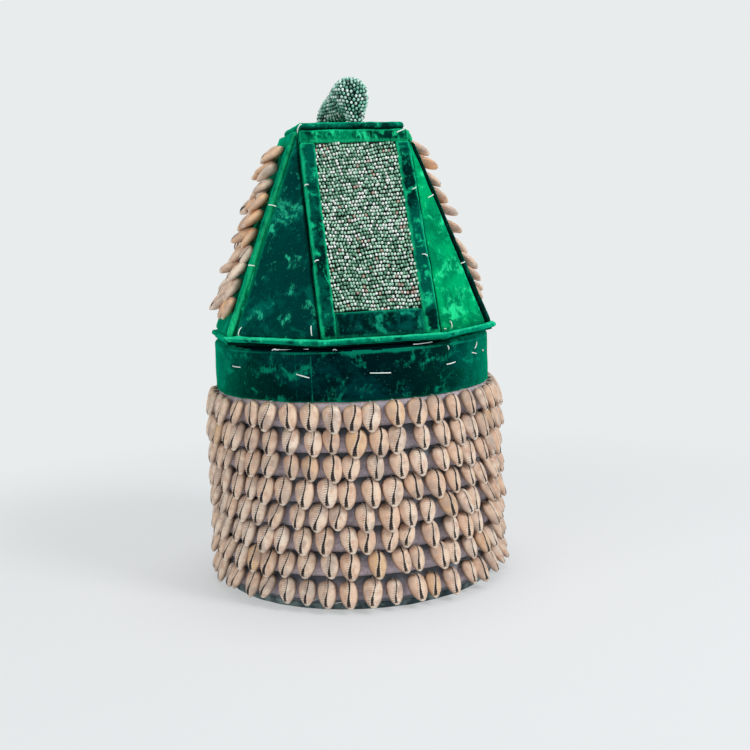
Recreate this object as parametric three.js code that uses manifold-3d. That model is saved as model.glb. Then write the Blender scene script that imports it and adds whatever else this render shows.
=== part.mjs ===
// Beaded shrine container.
// A stiff round box, covered with rows of cowrie shells and with a velvet band folded over its rim.
// Its lid is a tapering velvet roof, octagonal at the foot and rectangular at the top. It lifts straight off.
// Millimetres, +Z up. The origin is on the floor under the middle, and the beaded front panel faces -Y.

import * as THREE from 'three';
import { ConvexGeometry } from 'three/addons/geometries/ConvexGeometry.js';
import { mergeVertices } from 'three/addons/utils/BufferGeometryUtils.js';
import Module from 'manifold-3d';

const wasm = await Module();
wasm.setup();

// Clearances
const SEAM_GAP = 0.3;
const COLLAR_CLEARANCE = 1.3;

// Box: every radius is the distance from the axis to the middle of a flat
const SHELLS_PER_ROW = 44;
const WALL_RADIUS = 116;
const WALL_THICKNESS = 3.5;
const WALL_TOP = 209;
const BASE_THICKNESS = 4;
const LINING_THICKNESS = 1;
const BINDING_HEIGHT = 8;
const BINDING_THICKNESS = 2.4;
const BINDING_LIFT = 0.4;

// Velvet band over the rim
const BAND_HEIGHT = 43;
const BAND_PADDING = 4.5;
const BAND_OVER_RIM = 2.2;
const BAND_INNER_THICKNESS = 1.6;
const BAND_INNER_DEPTH = 20;

// Shell rows
const ROW_COUNT = 8;
const TAPE_THICKNESS = 2.6;
const SHELL_LENGTH = 22.5;
const SHELL_WIDTH = 15.5;
const SHELL_DEPTH = 9.5;
const SHELL_SINK = 0.9;
const SHELL_SEAT = 0.12;
const SHELL_TILT = THREE.MathUtils.degToRad(11);
const SHELL_MARGIN = 1;

// Lid foot
const RIM_BOARD_THICKNESS = 5;
const COLLAR_THICKNESS = 2.8;
const COLLAR_DEPTH = 24;
const FOOT_PIPING_RADIUS = 3;
const PIPING_SIDES = 8;
const PANEL_FOOT_WIDTH = 96;
const PANEL_FOOT_SETBACK = 1.9;

// Lid slopes and top: the distance is from the axis to the outside of the front panel's borders
const LID_PANEL_HEIGHT = 166;
const FRONT_TOP_DISTANCE = 42.4;
const FRONT_TOP_WIDTH = 92;
const SIDE_TOP_OVERHANG = 3;
const PANEL_BOARD_THICKNESS = 3;
const GUSSET_THICKNESS = 3;
const GUSSET_RECESS = 3.5;
const GUSSET_TOP_OFFSET = 1;
const TOP_BOARD_THICKNESS = 3;
const TOP_PIPING_RADIUS = 2.8;

// Borders and fields on the panels
const BORDER_HEIGHT = 3.6;
const BORDER_ROUNDING = 1.4;
const SIDE_BORDER_WIDTH = 12;
const TOP_BORDER_WIDTH = 11;
const FOOT_BORDER_WIDTH = 21;
const BEAD_FIELD_HEIGHT = 3;
const BEAD_ROW_SPACING = 2.95;
const BEAD_FURROW_DEPTH = 1.2;
const SHELL_FIELD_HEIGHT = 1.4;
const PANEL_ROW_SPACING = 14.8;
const PANEL_SHELL_SPACING = 15.6;
const PANEL_SHELL_TILT = THREE.MathUtils.degToRad(30);

// Loop handle: the line through the stuffed loop, from its front foot to its rear foot. A station gives
// its place across as a share of the lean, its way back as a share of the way between the feet, its height
// above the top board as a share of the rise, and its girth as a share of the largest radius.
const HANDLE_LEAN = 8.6;
const HANDLE_RISE = 29.7;
const HANDLE_RADIUS = 15.2;
const HANDLE_FRONT_CLEARANCE = 0.5;
const HANDLE_REAR_CLEARANCE = 2.2;
const HANDLE_STATIONS = [
  { across: 0.6, back: 0, up: -0.14, girth: 0.35 },
  { across: 0.6, back: 0, up: 0.17, girth: 0.45 },
  { across: 0.5, back: 0.02, up: 0.5, girth: 0.67 },
  { across: 0.44, back: 0.12, up: 1, girth: 1 },
  { across: -0.14, back: 0.5, up: 0.86, girth: 0.85 },
  { across: -0.77, back: 0.85, up: 0.58, girth: 0.81 },
  { across: -0.98, back: 0.99, up: 0.18, girth: 0.82 },
  { across: -1, back: 1, up: -0.14, girth: 0.81 },
];
const HANDLE_RINGS = 20;
const HANDLE_SIDES = 10;

// Finishes
const FINISHES = {
  velvet: { color: 0x04683c, roughness: 0.9, metalness: 0 },
  shell: { color: 0xe6cbae, roughness: 0.45, metalness: 0 },
  beads: { color: 0x93cdb4, roughness: 0.35, metalness: 0 },
  binding: { color: 0x2d4a4b, roughness: 0.9, metalness: 0 },
  board: { color: 0x9a8467, roughness: 0.85, metalness: 0 },
  cotton: { color: 0xb9aaad, roughness: 0.95, metalness: 0 },
};

// Worked out from the sizes above
const CORNER_STRETCH = 1 / Math.cos(Math.PI / SHELLS_PER_ROW);
const WALL_INSIDE = WALL_RADIUS - WALL_THICKNESS;
const WALL_FOOT = BASE_THICKNESS + SEAM_GAP;
const BAND_TOP = WALL_TOP + SEAM_GAP + BAND_OVER_RIM;
const BAND_FOOT = BAND_TOP - BAND_HEIGHT;
const BAND_INSIDE = WALL_INSIDE - SEAM_GAP - BAND_INNER_THICKNESS;
const LINING_TOP = BAND_TOP - BAND_INNER_DEPTH - SEAM_GAP;
const ROWS_FOOT = BINDING_LIFT + BINDING_HEIGHT + SEAM_GAP;
const ROW_PITCH = (BAND_FOOT - ROWS_FOOT) / ROW_COUNT;
const COLLAR_OUTSIDE = BAND_INSIDE - COLLAR_CLEARANCE;
const COLLAR_INSIDE = COLLAR_OUTSIDE - COLLAR_THICKNESS;
const PANEL_FOOT_DISTANCE = WALL_RADIUS - PANEL_FOOT_SETBACK;
const SIDE_TOP_DISTANCE = FRONT_TOP_WIDTH / 2 + SIDE_TOP_OVERHANG;
const RIM_BOARD_FOOT = BAND_TOP + SEAM_GAP;
const RIM_BOARD_TOP = RIM_BOARD_FOOT + RIM_BOARD_THICKNESS;
const PANEL_FOOT = RIM_BOARD_TOP + SEAM_GAP;
const PANEL_TOP = PANEL_FOOT + LID_PANEL_HEIGHT;
const SLAB_THICKNESS = PANEL_BOARD_THICKNESS + SEAM_GAP + BORDER_HEIGHT;

// Solids and surfaces

function toSolid(geometry) {
  const bare = geometry.clone();
  bare.deleteAttribute('normal');
  bare.deleteAttribute('uv');
  const merged = mergeVertices(bare);
  return new wasm.Manifold(new wasm.Mesh({
    numProp: 3,
    vertProperties: Float32Array.from(merged.attributes.position.array),
    triVerts: Uint32Array.from(merged.index.array),
  }));
}

function toGeometry(solid) {
  const mesh = solid.getMesh();
  const geometry = new THREE.BufferGeometry();
  geometry.setAttribute('position', new THREE.BufferAttribute(mesh.vertProperties, 3));
  geometry.setIndex(new THREE.BufferAttribute(mesh.triVerts, 1));
  return geometry;
}

function hull(points) {
  return toGeometry(toSolid(new ConvexGeometry(points)));
}

function addPiece(parent, name, geometry, finish) {
  const mesh = new THREE.Mesh(geometry, new THREE.MeshStandardMaterial(FINISHES[finish]));
  mesh.name = name;
  parent.add(mesh);
}

// A ring turned about the axis, with one flat for each shell of a row.
// The profile is closed, and lists distance from the axis and height, outer side going up.
function turnedRing(profile) {
  const points = profile.map(([distance, height]) => new THREE.Vector2(distance * CORNER_STRETCH, height));
  points.push(points[0].clone());
  const ring = new THREE.LatheGeometry(points, SHELLS_PER_ROW, Math.PI / SHELLS_PER_ROW);
  ring.rotateX(Math.PI / 2);
  return ring;
}

function turnedDisc(radius, foot, top) {
  const corner = radius * CORNER_STRETCH;
  const disc = new THREE.CylinderGeometry(
    corner, corner, top - foot, SHELLS_PER_ROW, 1, false, Math.PI / SHELLS_PER_ROW,
  );
  disc.rotateX(Math.PI / 2);
  disc.translate(0, 0, (foot + top) / 2);
  return disc;
}

// Moves every side of a polygon outwards by a distance. Corners run counter-clockwise.
function offsetPolygon(corners, distance) {
  return corners.map((corner, i) => {
    const before = corners[(i + corners.length - 1) % corners.length];
    const after = corners[(i + 1) % corners.length];
    const into = corner.clone().sub(before).normalize();
    const out = after.clone().sub(corner).normalize();
    const normalIn = new THREE.Vector2(into.y, -into.x);
    const normalOut = new THREE.Vector2(out.y, -out.x);
    const mitre = normalIn.clone().add(normalOut);
    return corner.clone().addScaledVector(mitre, distance / (1 + normalIn.dot(normalOut)));
  });
}

// A closed moulding that runs round a level polygon, mitred at its corners.
// The section lists distance out from the polygon and height, outer side going up.
function moulding(corners, section) {
  const rings = section.map(([distance, height]) => (
    offsetPolygon(corners, distance).map((corner) => [corner.x, corner.y, height])
  ));
  const positions = rings.flat(2);
  const sides = corners.length;
  const indices = [];
  for (let ring = 0; ring < section.length; ring += 1) {
    const next = (ring + 1) % section.length;
    for (let side = 0; side < sides; side += 1) {
      const turn = (side + 1) % sides;
      const a = ring * sides + side;
      const b = ring * sides + turn;
      const c = next * sides + turn;
      const d = next * sides + side;
      indices.push(a, b, c, a, c, d);
    }
  }
  const geometry = new THREE.BufferGeometry();
  geometry.setAttribute('position', new THREE.Float32BufferAttribute(positions, 3));
  geometry.setIndex(indices);
  return geometry;
}

function roundSection(radius, height) {
  return Array.from({ length: PIPING_SIDES }, (_, i) => {
    const angle = ((i + 0.5) / PIPING_SIDES) * 2 * Math.PI;
    return [radius * Math.cos(angle), height + radius * Math.sin(angle)];
  });
}

// A flat-backed pad over a polygon, with its upper edges rounded off
function pad(corners, foot, thickness, rounding) {
  const shoulder = foot + thickness - rounding;
  const crown = offsetPolygon(corners, -rounding);
  return hull([
    ...corners.map((corner) => new THREE.Vector3(corner.x, corner.y, foot)),
    ...corners.map((corner) => new THREE.Vector3(corner.x, corner.y, shoulder)),
    ...crown.map((corner) => new THREE.Vector3(corner.x, corner.y, foot + thickness)),
  ]);
}

// One cowrie, slit side out: x across, y up to its sewn end, z out of the cloth.
// It is widest above its middle, narrows to the free end, and touches the cloth at one point.
function cowrie(tilt) {
  const points = [
    [-0.28, 0.47, 0.3 * SHELL_DEPTH],
    [0.28, 0.47, 0.3 * SHELL_DEPTH],
    [-0.5, 0.06, 0.52 * SHELL_DEPTH],
    [0.5, 0.06, 0.52 * SHELL_DEPTH],
    [0, -0.5, 0.4 * SHELL_DEPTH],
    [-0.2, 0.2, SHELL_DEPTH],
    [0.2, 0.2, SHELL_DEPTH],
    [0, -0.26, SHELL_DEPTH],
    [0, SHELL_SEAT, -SHELL_SINK],
  ].map(([across, along, out]) => new THREE.Vector3(across * SHELL_WIDTH, along * SHELL_LENGTH, out));
  const shell = new ConvexGeometry(points);
  const seat = SHELL_SEAT * SHELL_LENGTH;
  shell.translate(0, -seat, 0);
  shell.rotateX(-tilt);
  shell.translate(0, seat, 0);
  return shell;
}

// Box
function addBox(root) {
  addPiece(root, 'base_board', turnedDisc(WALL_RADIUS, 0, BASE_THICKNESS), 'board');
  const bindingInside = WALL_RADIUS + SEAM_GAP;
  const bindingOutside = bindingInside + BINDING_THICKNESS;
  const bindingTop = BINDING_LIFT + BINDING_HEIGHT;
  addPiece(root, 'base_binding', turnedRing([
    [bindingInside, BINDING_LIFT],
    [bindingOutside, BINDING_LIFT],
    [bindingOutside, bindingTop - BINDING_THICKNESS / 2],
    [bindingOutside - BINDING_THICKNESS / 2, bindingTop],
    [bindingInside, bindingTop],
  ]), 'binding');
  addPiece(root, 'container_wall', turnedRing([
    [WALL_INSIDE, WALL_FOOT],
    [WALL_RADIUS, WALL_FOOT],
    [WALL_RADIUS, WALL_TOP],
    [WALL_INSIDE, WALL_TOP],
  ]), 'board');
  const liningOutside = WALL_INSIDE - SEAM_GAP;
  const liningInside = liningOutside - LINING_THICKNESS;
  addPiece(root, 'wall_lining', turnedRing([
    [liningInside, WALL_FOOT],
    [liningOutside, WALL_FOOT],
    [liningOutside, LINING_TOP],
    [liningInside, LINING_TOP],
  ]), 'cotton');
  addPiece(
    root, 'floor_lining',
    turnedDisc(liningInside - SEAM_GAP, WALL_FOOT, WALL_FOOT + LINING_THICKNESS), 'cotton',
  );
}

// The band is padded outside the wall, folds over the rim and hangs a little way down inside
function addBand(root) {
  const outer = WALL_RADIUS + SEAM_GAP + BAND_PADDING;
  const rimFold = BAND_OVER_RIM;
  addPiece(root, 'velvet_band', turnedRing([
    [WALL_RADIUS + SEAM_GAP, BAND_FOOT],
    [outer - rimFold / 2, BAND_FOOT],
    [outer, BAND_FOOT + rimFold / 2],
    [outer, BAND_TOP - rimFold],
    [outer - rimFold, BAND_TOP],
    [BAND_INSIDE, BAND_TOP],
    [BAND_INSIDE, BAND_TOP - BAND_INNER_DEPTH],
    [WALL_INSIDE - SEAM_GAP, BAND_TOP - BAND_INNER_DEPTH],
    [WALL_INSIDE - SEAM_GAP, WALL_TOP + SEAM_GAP],
    [WALL_RADIUS + SEAM_GAP, WALL_TOP + SEAM_GAP],
  ]), 'velvet');
}

// Each row is a strip of tape round the wall that stands off at its foot, with one cowrie on each flat
function addShellRow(root, row) {
  const foot = ROWS_FOOT + row * ROW_PITCH;
  const top = foot + ROW_PITCH - SEAM_GAP;
  const inside = WALL_RADIUS + SEAM_GAP;
  const tape = turnedRing([
    [inside, foot],
    [inside + TAPE_THICKNESS, foot],
    [inside, top],
  ]);
  const shellMiddle = top - SHELL_MARGIN - SHELL_LENGTH / 2;
  const seatHeight = shellMiddle + SHELL_SEAT * SHELL_LENGTH;
  const tapeFace = inside + (TAPE_THICKNESS * (top - seatHeight)) / (top - foot);
  const pieces = [toSolid(tape)];
  for (let i = 0; i < SHELLS_PER_ROW; i += 1) {
    const shell = cowrie(SHELL_TILT);
    shell.rotateX(Math.PI / 2);
    shell.translate(0, -tapeFace, shellMiddle);
    shell.rotateZ((i / SHELLS_PER_ROW) * 2 * Math.PI);
    pieces.push(toSolid(shell));
  }
  addPiece(root, `cowrie_row_${row + 1}`, toGeometry(wasm.Manifold.union(pieces)), 'shell');
}

// Lid foot: an octagonal rim board on the band, a collar inside the mouth, and piping round the edge
function lidOctagon() {
  const halfSide = PANEL_FOOT_WIDTH / 2;
  const corners = [];
  for (let quarter = 0; quarter < 4; quarter += 1) {
    for (const across of [-halfSide, halfSide]) {
      const corner = new THREE.Vector2(across, -PANEL_FOOT_DISTANCE);
      corner.rotateAround(new THREE.Vector2(0, 0), (quarter * Math.PI) / 2);
      corners.push(corner);
    }
  }
  return corners;
}

function addLidFoot(lid) {
  const outline = new THREE.Shape(offsetPolygon(lidOctagon(), -SEAM_GAP));
  const hole = Array.from({ length: SHELLS_PER_ROW }, (_, i) => {
    const angle = ((i + 0.5) / SHELLS_PER_ROW) * 2 * Math.PI;
    const corner = COLLAR_INSIDE * CORNER_STRETCH;
    return new THREE.Vector2(corner * Math.cos(angle), corner * Math.sin(angle));
  });
  outline.holes.push(new THREE.Path(hole));
  const board = new THREE.ExtrudeGeometry(outline, { depth: RIM_BOARD_THICKNESS, bevelEnabled: false });
  board.translate(0, 0, RIM_BOARD_FOOT);
  addPiece(lid, 'lid_rim_board', board, 'board');
  const collarTop = RIM_BOARD_FOOT - SEAM_GAP;
  addPiece(lid, 'lid_collar', turnedRing([
    [COLLAR_INSIDE, collarTop - COLLAR_DEPTH],
    [COLLAR_OUTSIDE, collarTop - COLLAR_DEPTH],
    [COLLAR_OUTSIDE, collarTop],
    [COLLAR_INSIDE, collarTop],
  ]), 'board');
  const pipingHeight = RIM_BOARD_FOOT + SEAM_GAP + FOOT_PIPING_RADIUS;
  const piping = moulding(
    offsetPolygon(lidOctagon(), FOOT_PIPING_RADIUS),
    roundSection(FOOT_PIPING_RADIUS, pipingHeight),
  );
  addPiece(lid, 'foot_piping', piping, 'velvet');
}

// A lid panel lies in its own frame: x across, y up its slope from the foot, z out of its board's face.
// All four have the same foot. The front and back ones overlap the ends of the side ones at the top.
function panelShape(topDistance, topHalfWidth) {
  const lean = Math.atan2(PANEL_FOOT_DISTANCE - topDistance, LID_PANEL_HEIGHT);
  const slope = Math.hypot(PANEL_FOOT_DISTANCE - topDistance, LID_PANEL_HEIGHT);
  const faceDepth = SEAM_GAP + BORDER_HEIGHT;
  const boardFoot = (faceDepth + PANEL_BOARD_THICKNESS) * Math.tan(lean);
  const borderFoot = faceDepth * Math.tan(lean);
  const halfWidth = (up) => THREE.MathUtils.lerp(PANEL_FOOT_WIDTH / 2, topHalfWidth, up / slope);
  return { lean, slope, faceDepth, boardFoot, borderFoot, halfWidth };
}

const slabReach = (topDistance) => (
  SLAB_THICKNESS / Math.cos(Math.atan2(PANEL_FOOT_DISTANCE - topDistance, LID_PANEL_HEIGHT))
);
const TOP_BOARD_HALF_DEPTH = FRONT_TOP_DISTANCE - slabReach(FRONT_TOP_DISTANCE) - SEAM_GAP;
const TOP_BOARD_HALF_WIDTH = SIDE_TOP_DISTANCE - slabReach(SIDE_TOP_DISTANCE) - SEAM_GAP;
const FRONT_SHAPE = panelShape(FRONT_TOP_DISTANCE, FRONT_TOP_WIDTH / 2);
const SIDE_SHAPE = panelShape(SIDE_TOP_DISTANCE, TOP_BOARD_HALF_DEPTH);

function panelFrame(lid, shape, turn) {
  const around = new THREE.Group();
  around.rotation.z = turn;
  const frame = new THREE.Group();
  frame.rotation.x = Math.PI / 2 - shape.lean;
  frame.position.set(0, -PANEL_FOOT_DISTANCE, PANEL_FOOT);
  around.add(frame);
  lid.add(around);
  return frame;
}

// A four-sided outline on a panel between two heights, as far out as two functions of the height say
function outline(low, high, left, right) {
  return [
    new THREE.Vector2(left(low), low),
    new THREE.Vector2(right(low), low),
    new THREE.Vector2(right(high), high),
    new THREE.Vector2(left(high), high),
  ];
}

function addPanel(lid, side, shape, turn) {
  const frame = panelFrame(lid, shape, turn);
  const { slope, halfWidth, boardFoot, borderFoot, faceDepth } = shape;
  const face = -faceDepth;
  const edgeLeft = (up) => -halfWidth(up);
  const fieldEdge = (up) => halfWidth(up) - SIDE_BORDER_WIDTH;

  const board = new THREE.ExtrudeGeometry(
    new THREE.Shape(outline(boardFoot, slope, edgeLeft, halfWidth)),
    { depth: PANEL_BOARD_THICKNESS, bevelEnabled: false },
  );
  board.translate(0, 0, face - PANEL_BOARD_THICKNESS);
  addPiece(frame, `${side}_board`, board, 'board');

  const borderFace = face + SEAM_GAP;
  const sideTop = slope - TOP_BORDER_WIDTH - SEAM_GAP;
  const footTop = borderFoot + FOOT_BORDER_WIDTH;
  const borders = {
    top_border: outline(slope - TOP_BORDER_WIDTH, slope, edgeLeft, halfWidth),
    left_border: outline(borderFoot, sideTop, edgeLeft, (up) => -fieldEdge(up)),
    right_border: outline(borderFoot, sideTop, fieldEdge, halfWidth),
    foot_border: outline(
      borderFoot, footTop,
      (up) => -fieldEdge(up) + SEAM_GAP, (up) => fieldEdge(up) - SEAM_GAP,
    ),
  };
  for (const [name, corners] of Object.entries(borders)) {
    addPiece(frame, `${side}_${name}`, pad(corners, borderFace, BORDER_HEIGHT, BORDER_ROUNDING), 'velvet');
  }
  const field = outline(
    footTop + SEAM_GAP, sideTop,
    (up) => -fieldEdge(up) + SEAM_GAP, (up) => fieldEdge(up) - SEAM_GAP,
  );
  return { frame, field, borderFace, fieldEdge };
}

// Rows of beads sewn across a field: a ridge for each row, and a furrow between two rows
function beadRows(field, foot) {
  const low = field[0].y;
  const high = field[2].y;
  const rowCount = Math.round((high - low) / BEAD_ROW_SPACING);
  const rowPitch = (high - low) / rowCount;
  const ridge = foot + BEAD_FIELD_HEIGHT;
  const furrow = ridge - BEAD_FURROW_DEPTH;
  const section = [new THREE.Vector2(low, foot), new THREE.Vector2(low, furrow)];
  for (let row = 0; row < rowCount; row += 1) {
    section.push(new THREE.Vector2(low + (row + 0.5) * rowPitch, ridge));
    section.push(new THREE.Vector2(low + (row + 1) * rowPitch, furrow));
  }
  section.push(new THREE.Vector2(high, foot));
  const halfWidth = field[1].x + SEAM_GAP;
  const ridges = new THREE.ExtrudeGeometry(
    new THREE.Shape(section), { depth: 2 * halfWidth, bevelEnabled: false },
  );
  ridges.translate(0, 0, -halfWidth);
  ridges.applyMatrix4(new THREE.Matrix4().makeBasis(
    new THREE.Vector3(0, 1, 0), new THREE.Vector3(0, 0, 1), new THREE.Vector3(1, 0, 0),
  ));
  const block = new THREE.ExtrudeGeometry(
    new THREE.Shape(field), { depth: BEAD_FIELD_HEIGHT + SEAM_GAP, bevelEnabled: false },
  );
  block.translate(0, 0, foot);
  return toGeometry(wasm.Manifold.intersection([toSolid(ridges), toSolid(block)]));
}

function addBeadPanel(lid, side, shape, turn) {
  const { frame, field, borderFace } = addPanel(lid, side, shape, turn);
  addPiece(frame, `${side}_bead_panel`, beadRows(field, borderFace), 'beads');
}

// Rows of cowries on a cloth backing. A row holds as many as fit between the borders.
function addShellPanel(lid, side, shape, turn) {
  const { frame, field, borderFace, fieldEdge } = addPanel(lid, side, shape, turn);
  const backing = new THREE.ExtrudeGeometry(
    new THREE.Shape(field), { depth: SHELL_FIELD_HEIGHT, bevelEnabled: false },
  );
  backing.translate(0, 0, borderFace);
  const pieces = [toSolid(backing)];
  const fieldFoot = field[0].y;
  const rowCount = Math.round((field[2].y - fieldFoot) / PANEL_ROW_SPACING);
  const rowPitch = (field[2].y - fieldFoot) / rowCount;
  for (let row = 0; row < rowCount; row += 1) {
    const sewnAt = fieldFoot + (row + 1) * rowPitch - SHELL_MARGIN;
    const count = Math.floor((2 * fieldEdge(sewnAt)) / PANEL_SHELL_SPACING);
    const spacing = (2 * fieldEdge(sewnAt)) / count;
    for (let i = 0; i < count; i += 1) {
      const shell = cowrie(PANEL_SHELL_TILT);
      const across = (i + 0.5 - count / 2) * spacing;
      shell.translate(across, sewnAt - SHELL_LENGTH / 2, borderFace + SHELL_FIELD_HEIGHT);
      pieces.push(toSolid(shell));
    }
  }
  addPiece(frame, `${side}_cowrie_panel`, toGeometry(wasm.Manifold.union(pieces)), 'shell');
}

// Planes of the lid, as a normal that points out and a distance from the origin
function panelPlane(shape, turn, depth) {
  const normal = new THREE.Vector3(0, -Math.cos(shape.lean), Math.sin(shape.lean));
  const point = new THREE.Vector3(0, -PANEL_FOOT_DISTANCE, PANEL_FOOT);
  const distance = normal.dot(point) - depth;
  normal.applyAxisAngle(new THREE.Vector3(0, 0, 1), turn);
  return { normal, distance };
}

// The plane of a panel's end: 1 is its right end and -1 its left end, seen from outside
function panelEndPlane(shape, turn, end) {
  const up = new THREE.Vector3(0, Math.sin(shape.lean), Math.cos(shape.lean));
  const out = new THREE.Vector3(0, -Math.cos(shape.lean), Math.sin(shape.lean));
  const foot = new THREE.Vector3((end * PANEL_FOOT_WIDTH) / 2, -PANEL_FOOT_DISTANCE, PANEL_FOOT);
  const run = shape.halfWidth(shape.slope) - shape.halfWidth(0);
  const edge = up.clone().multiplyScalar(shape.slope).add(new THREE.Vector3(end * run, 0, 0)).normalize();
  const normal = edge.clone().cross(out).multiplyScalar(end).normalize();
  const distance = normal.dot(foot) + SEAM_GAP;
  normal.applyAxisAngle(new THREE.Vector3(0, 0, 1), turn);
  return { normal, distance };
}

// A gusset fills the corner between a front or back panel and a side panel, a little behind their faces.
// Its plane passes through the two panels' foot corners and the meeting of their ends at the top.
function gussetPlane(signX, signY, depth) {
  const footFar = PANEL_FOOT_DISTANCE - GUSSET_RECESS;
  const footNear = PANEL_FOOT_WIDTH / 2;
  const a = new THREE.Vector3(signX * footNear, signY * footFar, PANEL_FOOT);
  const b = new THREE.Vector3(signX * footFar, signY * footNear, PANEL_FOOT);
  const c = new THREE.Vector3(
    signX * (FRONT_TOP_WIDTH / 2 + GUSSET_TOP_OFFSET),
    signY * (TOP_BOARD_HALF_DEPTH + GUSSET_TOP_OFFSET),
    PANEL_TOP,
  );
  const normal = b.clone().sub(a).cross(c.clone().sub(a)).normalize();
  if (normal.x * signX < 0) {
    normal.negate();
  }
  return { normal, distance: normal.dot(a) - depth };
}

// Keeps what lies below a plane
function keepInside(solid, { normal, distance }) {
  return solid.trimByPlane(normal.clone().negate().toArray(), -distance);
}

// Keeps what lies above a plane
function keepOutside(solid, { normal, distance }) {
  return solid.trimByPlane(normal.toArray(), distance);
}

// A block wider than the lid, between two heights, to cut the lid's slanted pieces from
function lidBlock(foot, top) {
  const width = 3 * PANEL_FOOT_DISTANCE;
  const block = new THREE.BoxGeometry(width, width, top - foot);
  block.translate(0, 0, (foot + top) / 2);
  return toSolid(block);
}

const QUARTER = Math.PI / 2;
const PANELS = {
  front: { shape: FRONT_SHAPE, turn: 0 },
  right: { shape: SIDE_SHAPE, turn: QUARTER },
  back: { shape: FRONT_SHAPE, turn: 2 * QUARTER },
  left: { shape: SIDE_SHAPE, turn: -QUARTER },
};
const GUSSETS = {
  front_right_gusset: { signX: 1, signY: -1, before: PANELS.front, after: PANELS.right },
  back_right_gusset: { signX: 1, signY: 1, before: PANELS.right, after: PANELS.back },
  back_left_gusset: { signX: -1, signY: 1, before: PANELS.back, after: PANELS.left },
  front_left_gusset: { signX: -1, signY: -1, before: PANELS.left, after: PANELS.front },
};

function addGusset(lid, name, { signX, signY, before, after }) {
  let gusset = lidBlock(PANEL_FOOT, PANEL_TOP - SEAM_GAP);
  gusset = keepInside(gusset, gussetPlane(signX, signY, 0));
  gusset = keepOutside(gusset, gussetPlane(signX, signY, GUSSET_THICKNESS));
  gusset = keepOutside(gusset, panelEndPlane(before.shape, before.turn, 1));
  gusset = keepOutside(gusset, panelEndPlane(after.shape, after.turn, -1));
  addPiece(lid, name, toGeometry(gusset), 'velvet');
}

// The inside of the lid, set in from the boards and gussets
function lidInside(inset, foot, top) {
  let inside = lidBlock(foot, top);
  for (const { shape, turn } of Object.values(PANELS)) {
    inside = keepInside(inside, panelPlane(shape, turn, SLAB_THICKNESS + inset));
  }
  for (const { signX, signY } of Object.values(GUSSETS)) {
    inside = keepInside(inside, gussetPlane(signX, signY, GUSSET_THICKNESS + inset));
  }
  return inside;
}

function addLidLining(lid) {
  const top = PANEL_TOP - TOP_BOARD_THICKNESS - SEAM_GAP;
  const outside = lidInside(SEAM_GAP, PANEL_FOOT, top);
  const hollow = lidInside(
    SEAM_GAP + LINING_THICKNESS, PANEL_FOOT - LINING_THICKNESS, top - LINING_THICKNESS,
  );
  addPiece(lid, 'lid_lining', toGeometry(outside.subtract(hollow)), 'cotton');
}

// The top board lies between the panels' upper edges, and the piping covers the seam round it
function addLidTop(lid) {
  const flare = (shape) => TOP_BOARD_THICKNESS * Math.tan(shape.lean);
  const topCorners = rectangle(TOP_BOARD_HALF_WIDTH, TOP_BOARD_HALF_DEPTH);
  const footCorners = rectangle(
    TOP_BOARD_HALF_WIDTH + flare(SIDE_SHAPE), TOP_BOARD_HALF_DEPTH + flare(FRONT_SHAPE),
  );
  addPiece(lid, 'lid_top_board', hull([
    ...footCorners.map(({ x, y }) => new THREE.Vector3(x, y, PANEL_TOP - TOP_BOARD_THICKNESS)),
    ...topCorners.map(({ x, y }) => new THREE.Vector3(x, y, PANEL_TOP)),
  ]), 'velvet');
  const pipingHeight = PANEL_TOP + SEAM_GAP + TOP_PIPING_RADIUS;
  addPiece(
    lid, 'top_piping',
    moulding(topCorners, roundSection(TOP_PIPING_RADIUS, pipingHeight)), 'velvet',
  );
}

function rectangle(halfWidth, halfDepth) {
  return [
    new THREE.Vector2(-halfWidth, -halfDepth),
    new THREE.Vector2(halfWidth, -halfDepth),
    new THREE.Vector2(halfWidth, halfDepth),
    new THREE.Vector2(-halfWidth, halfDepth),
  ];
}

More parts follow.
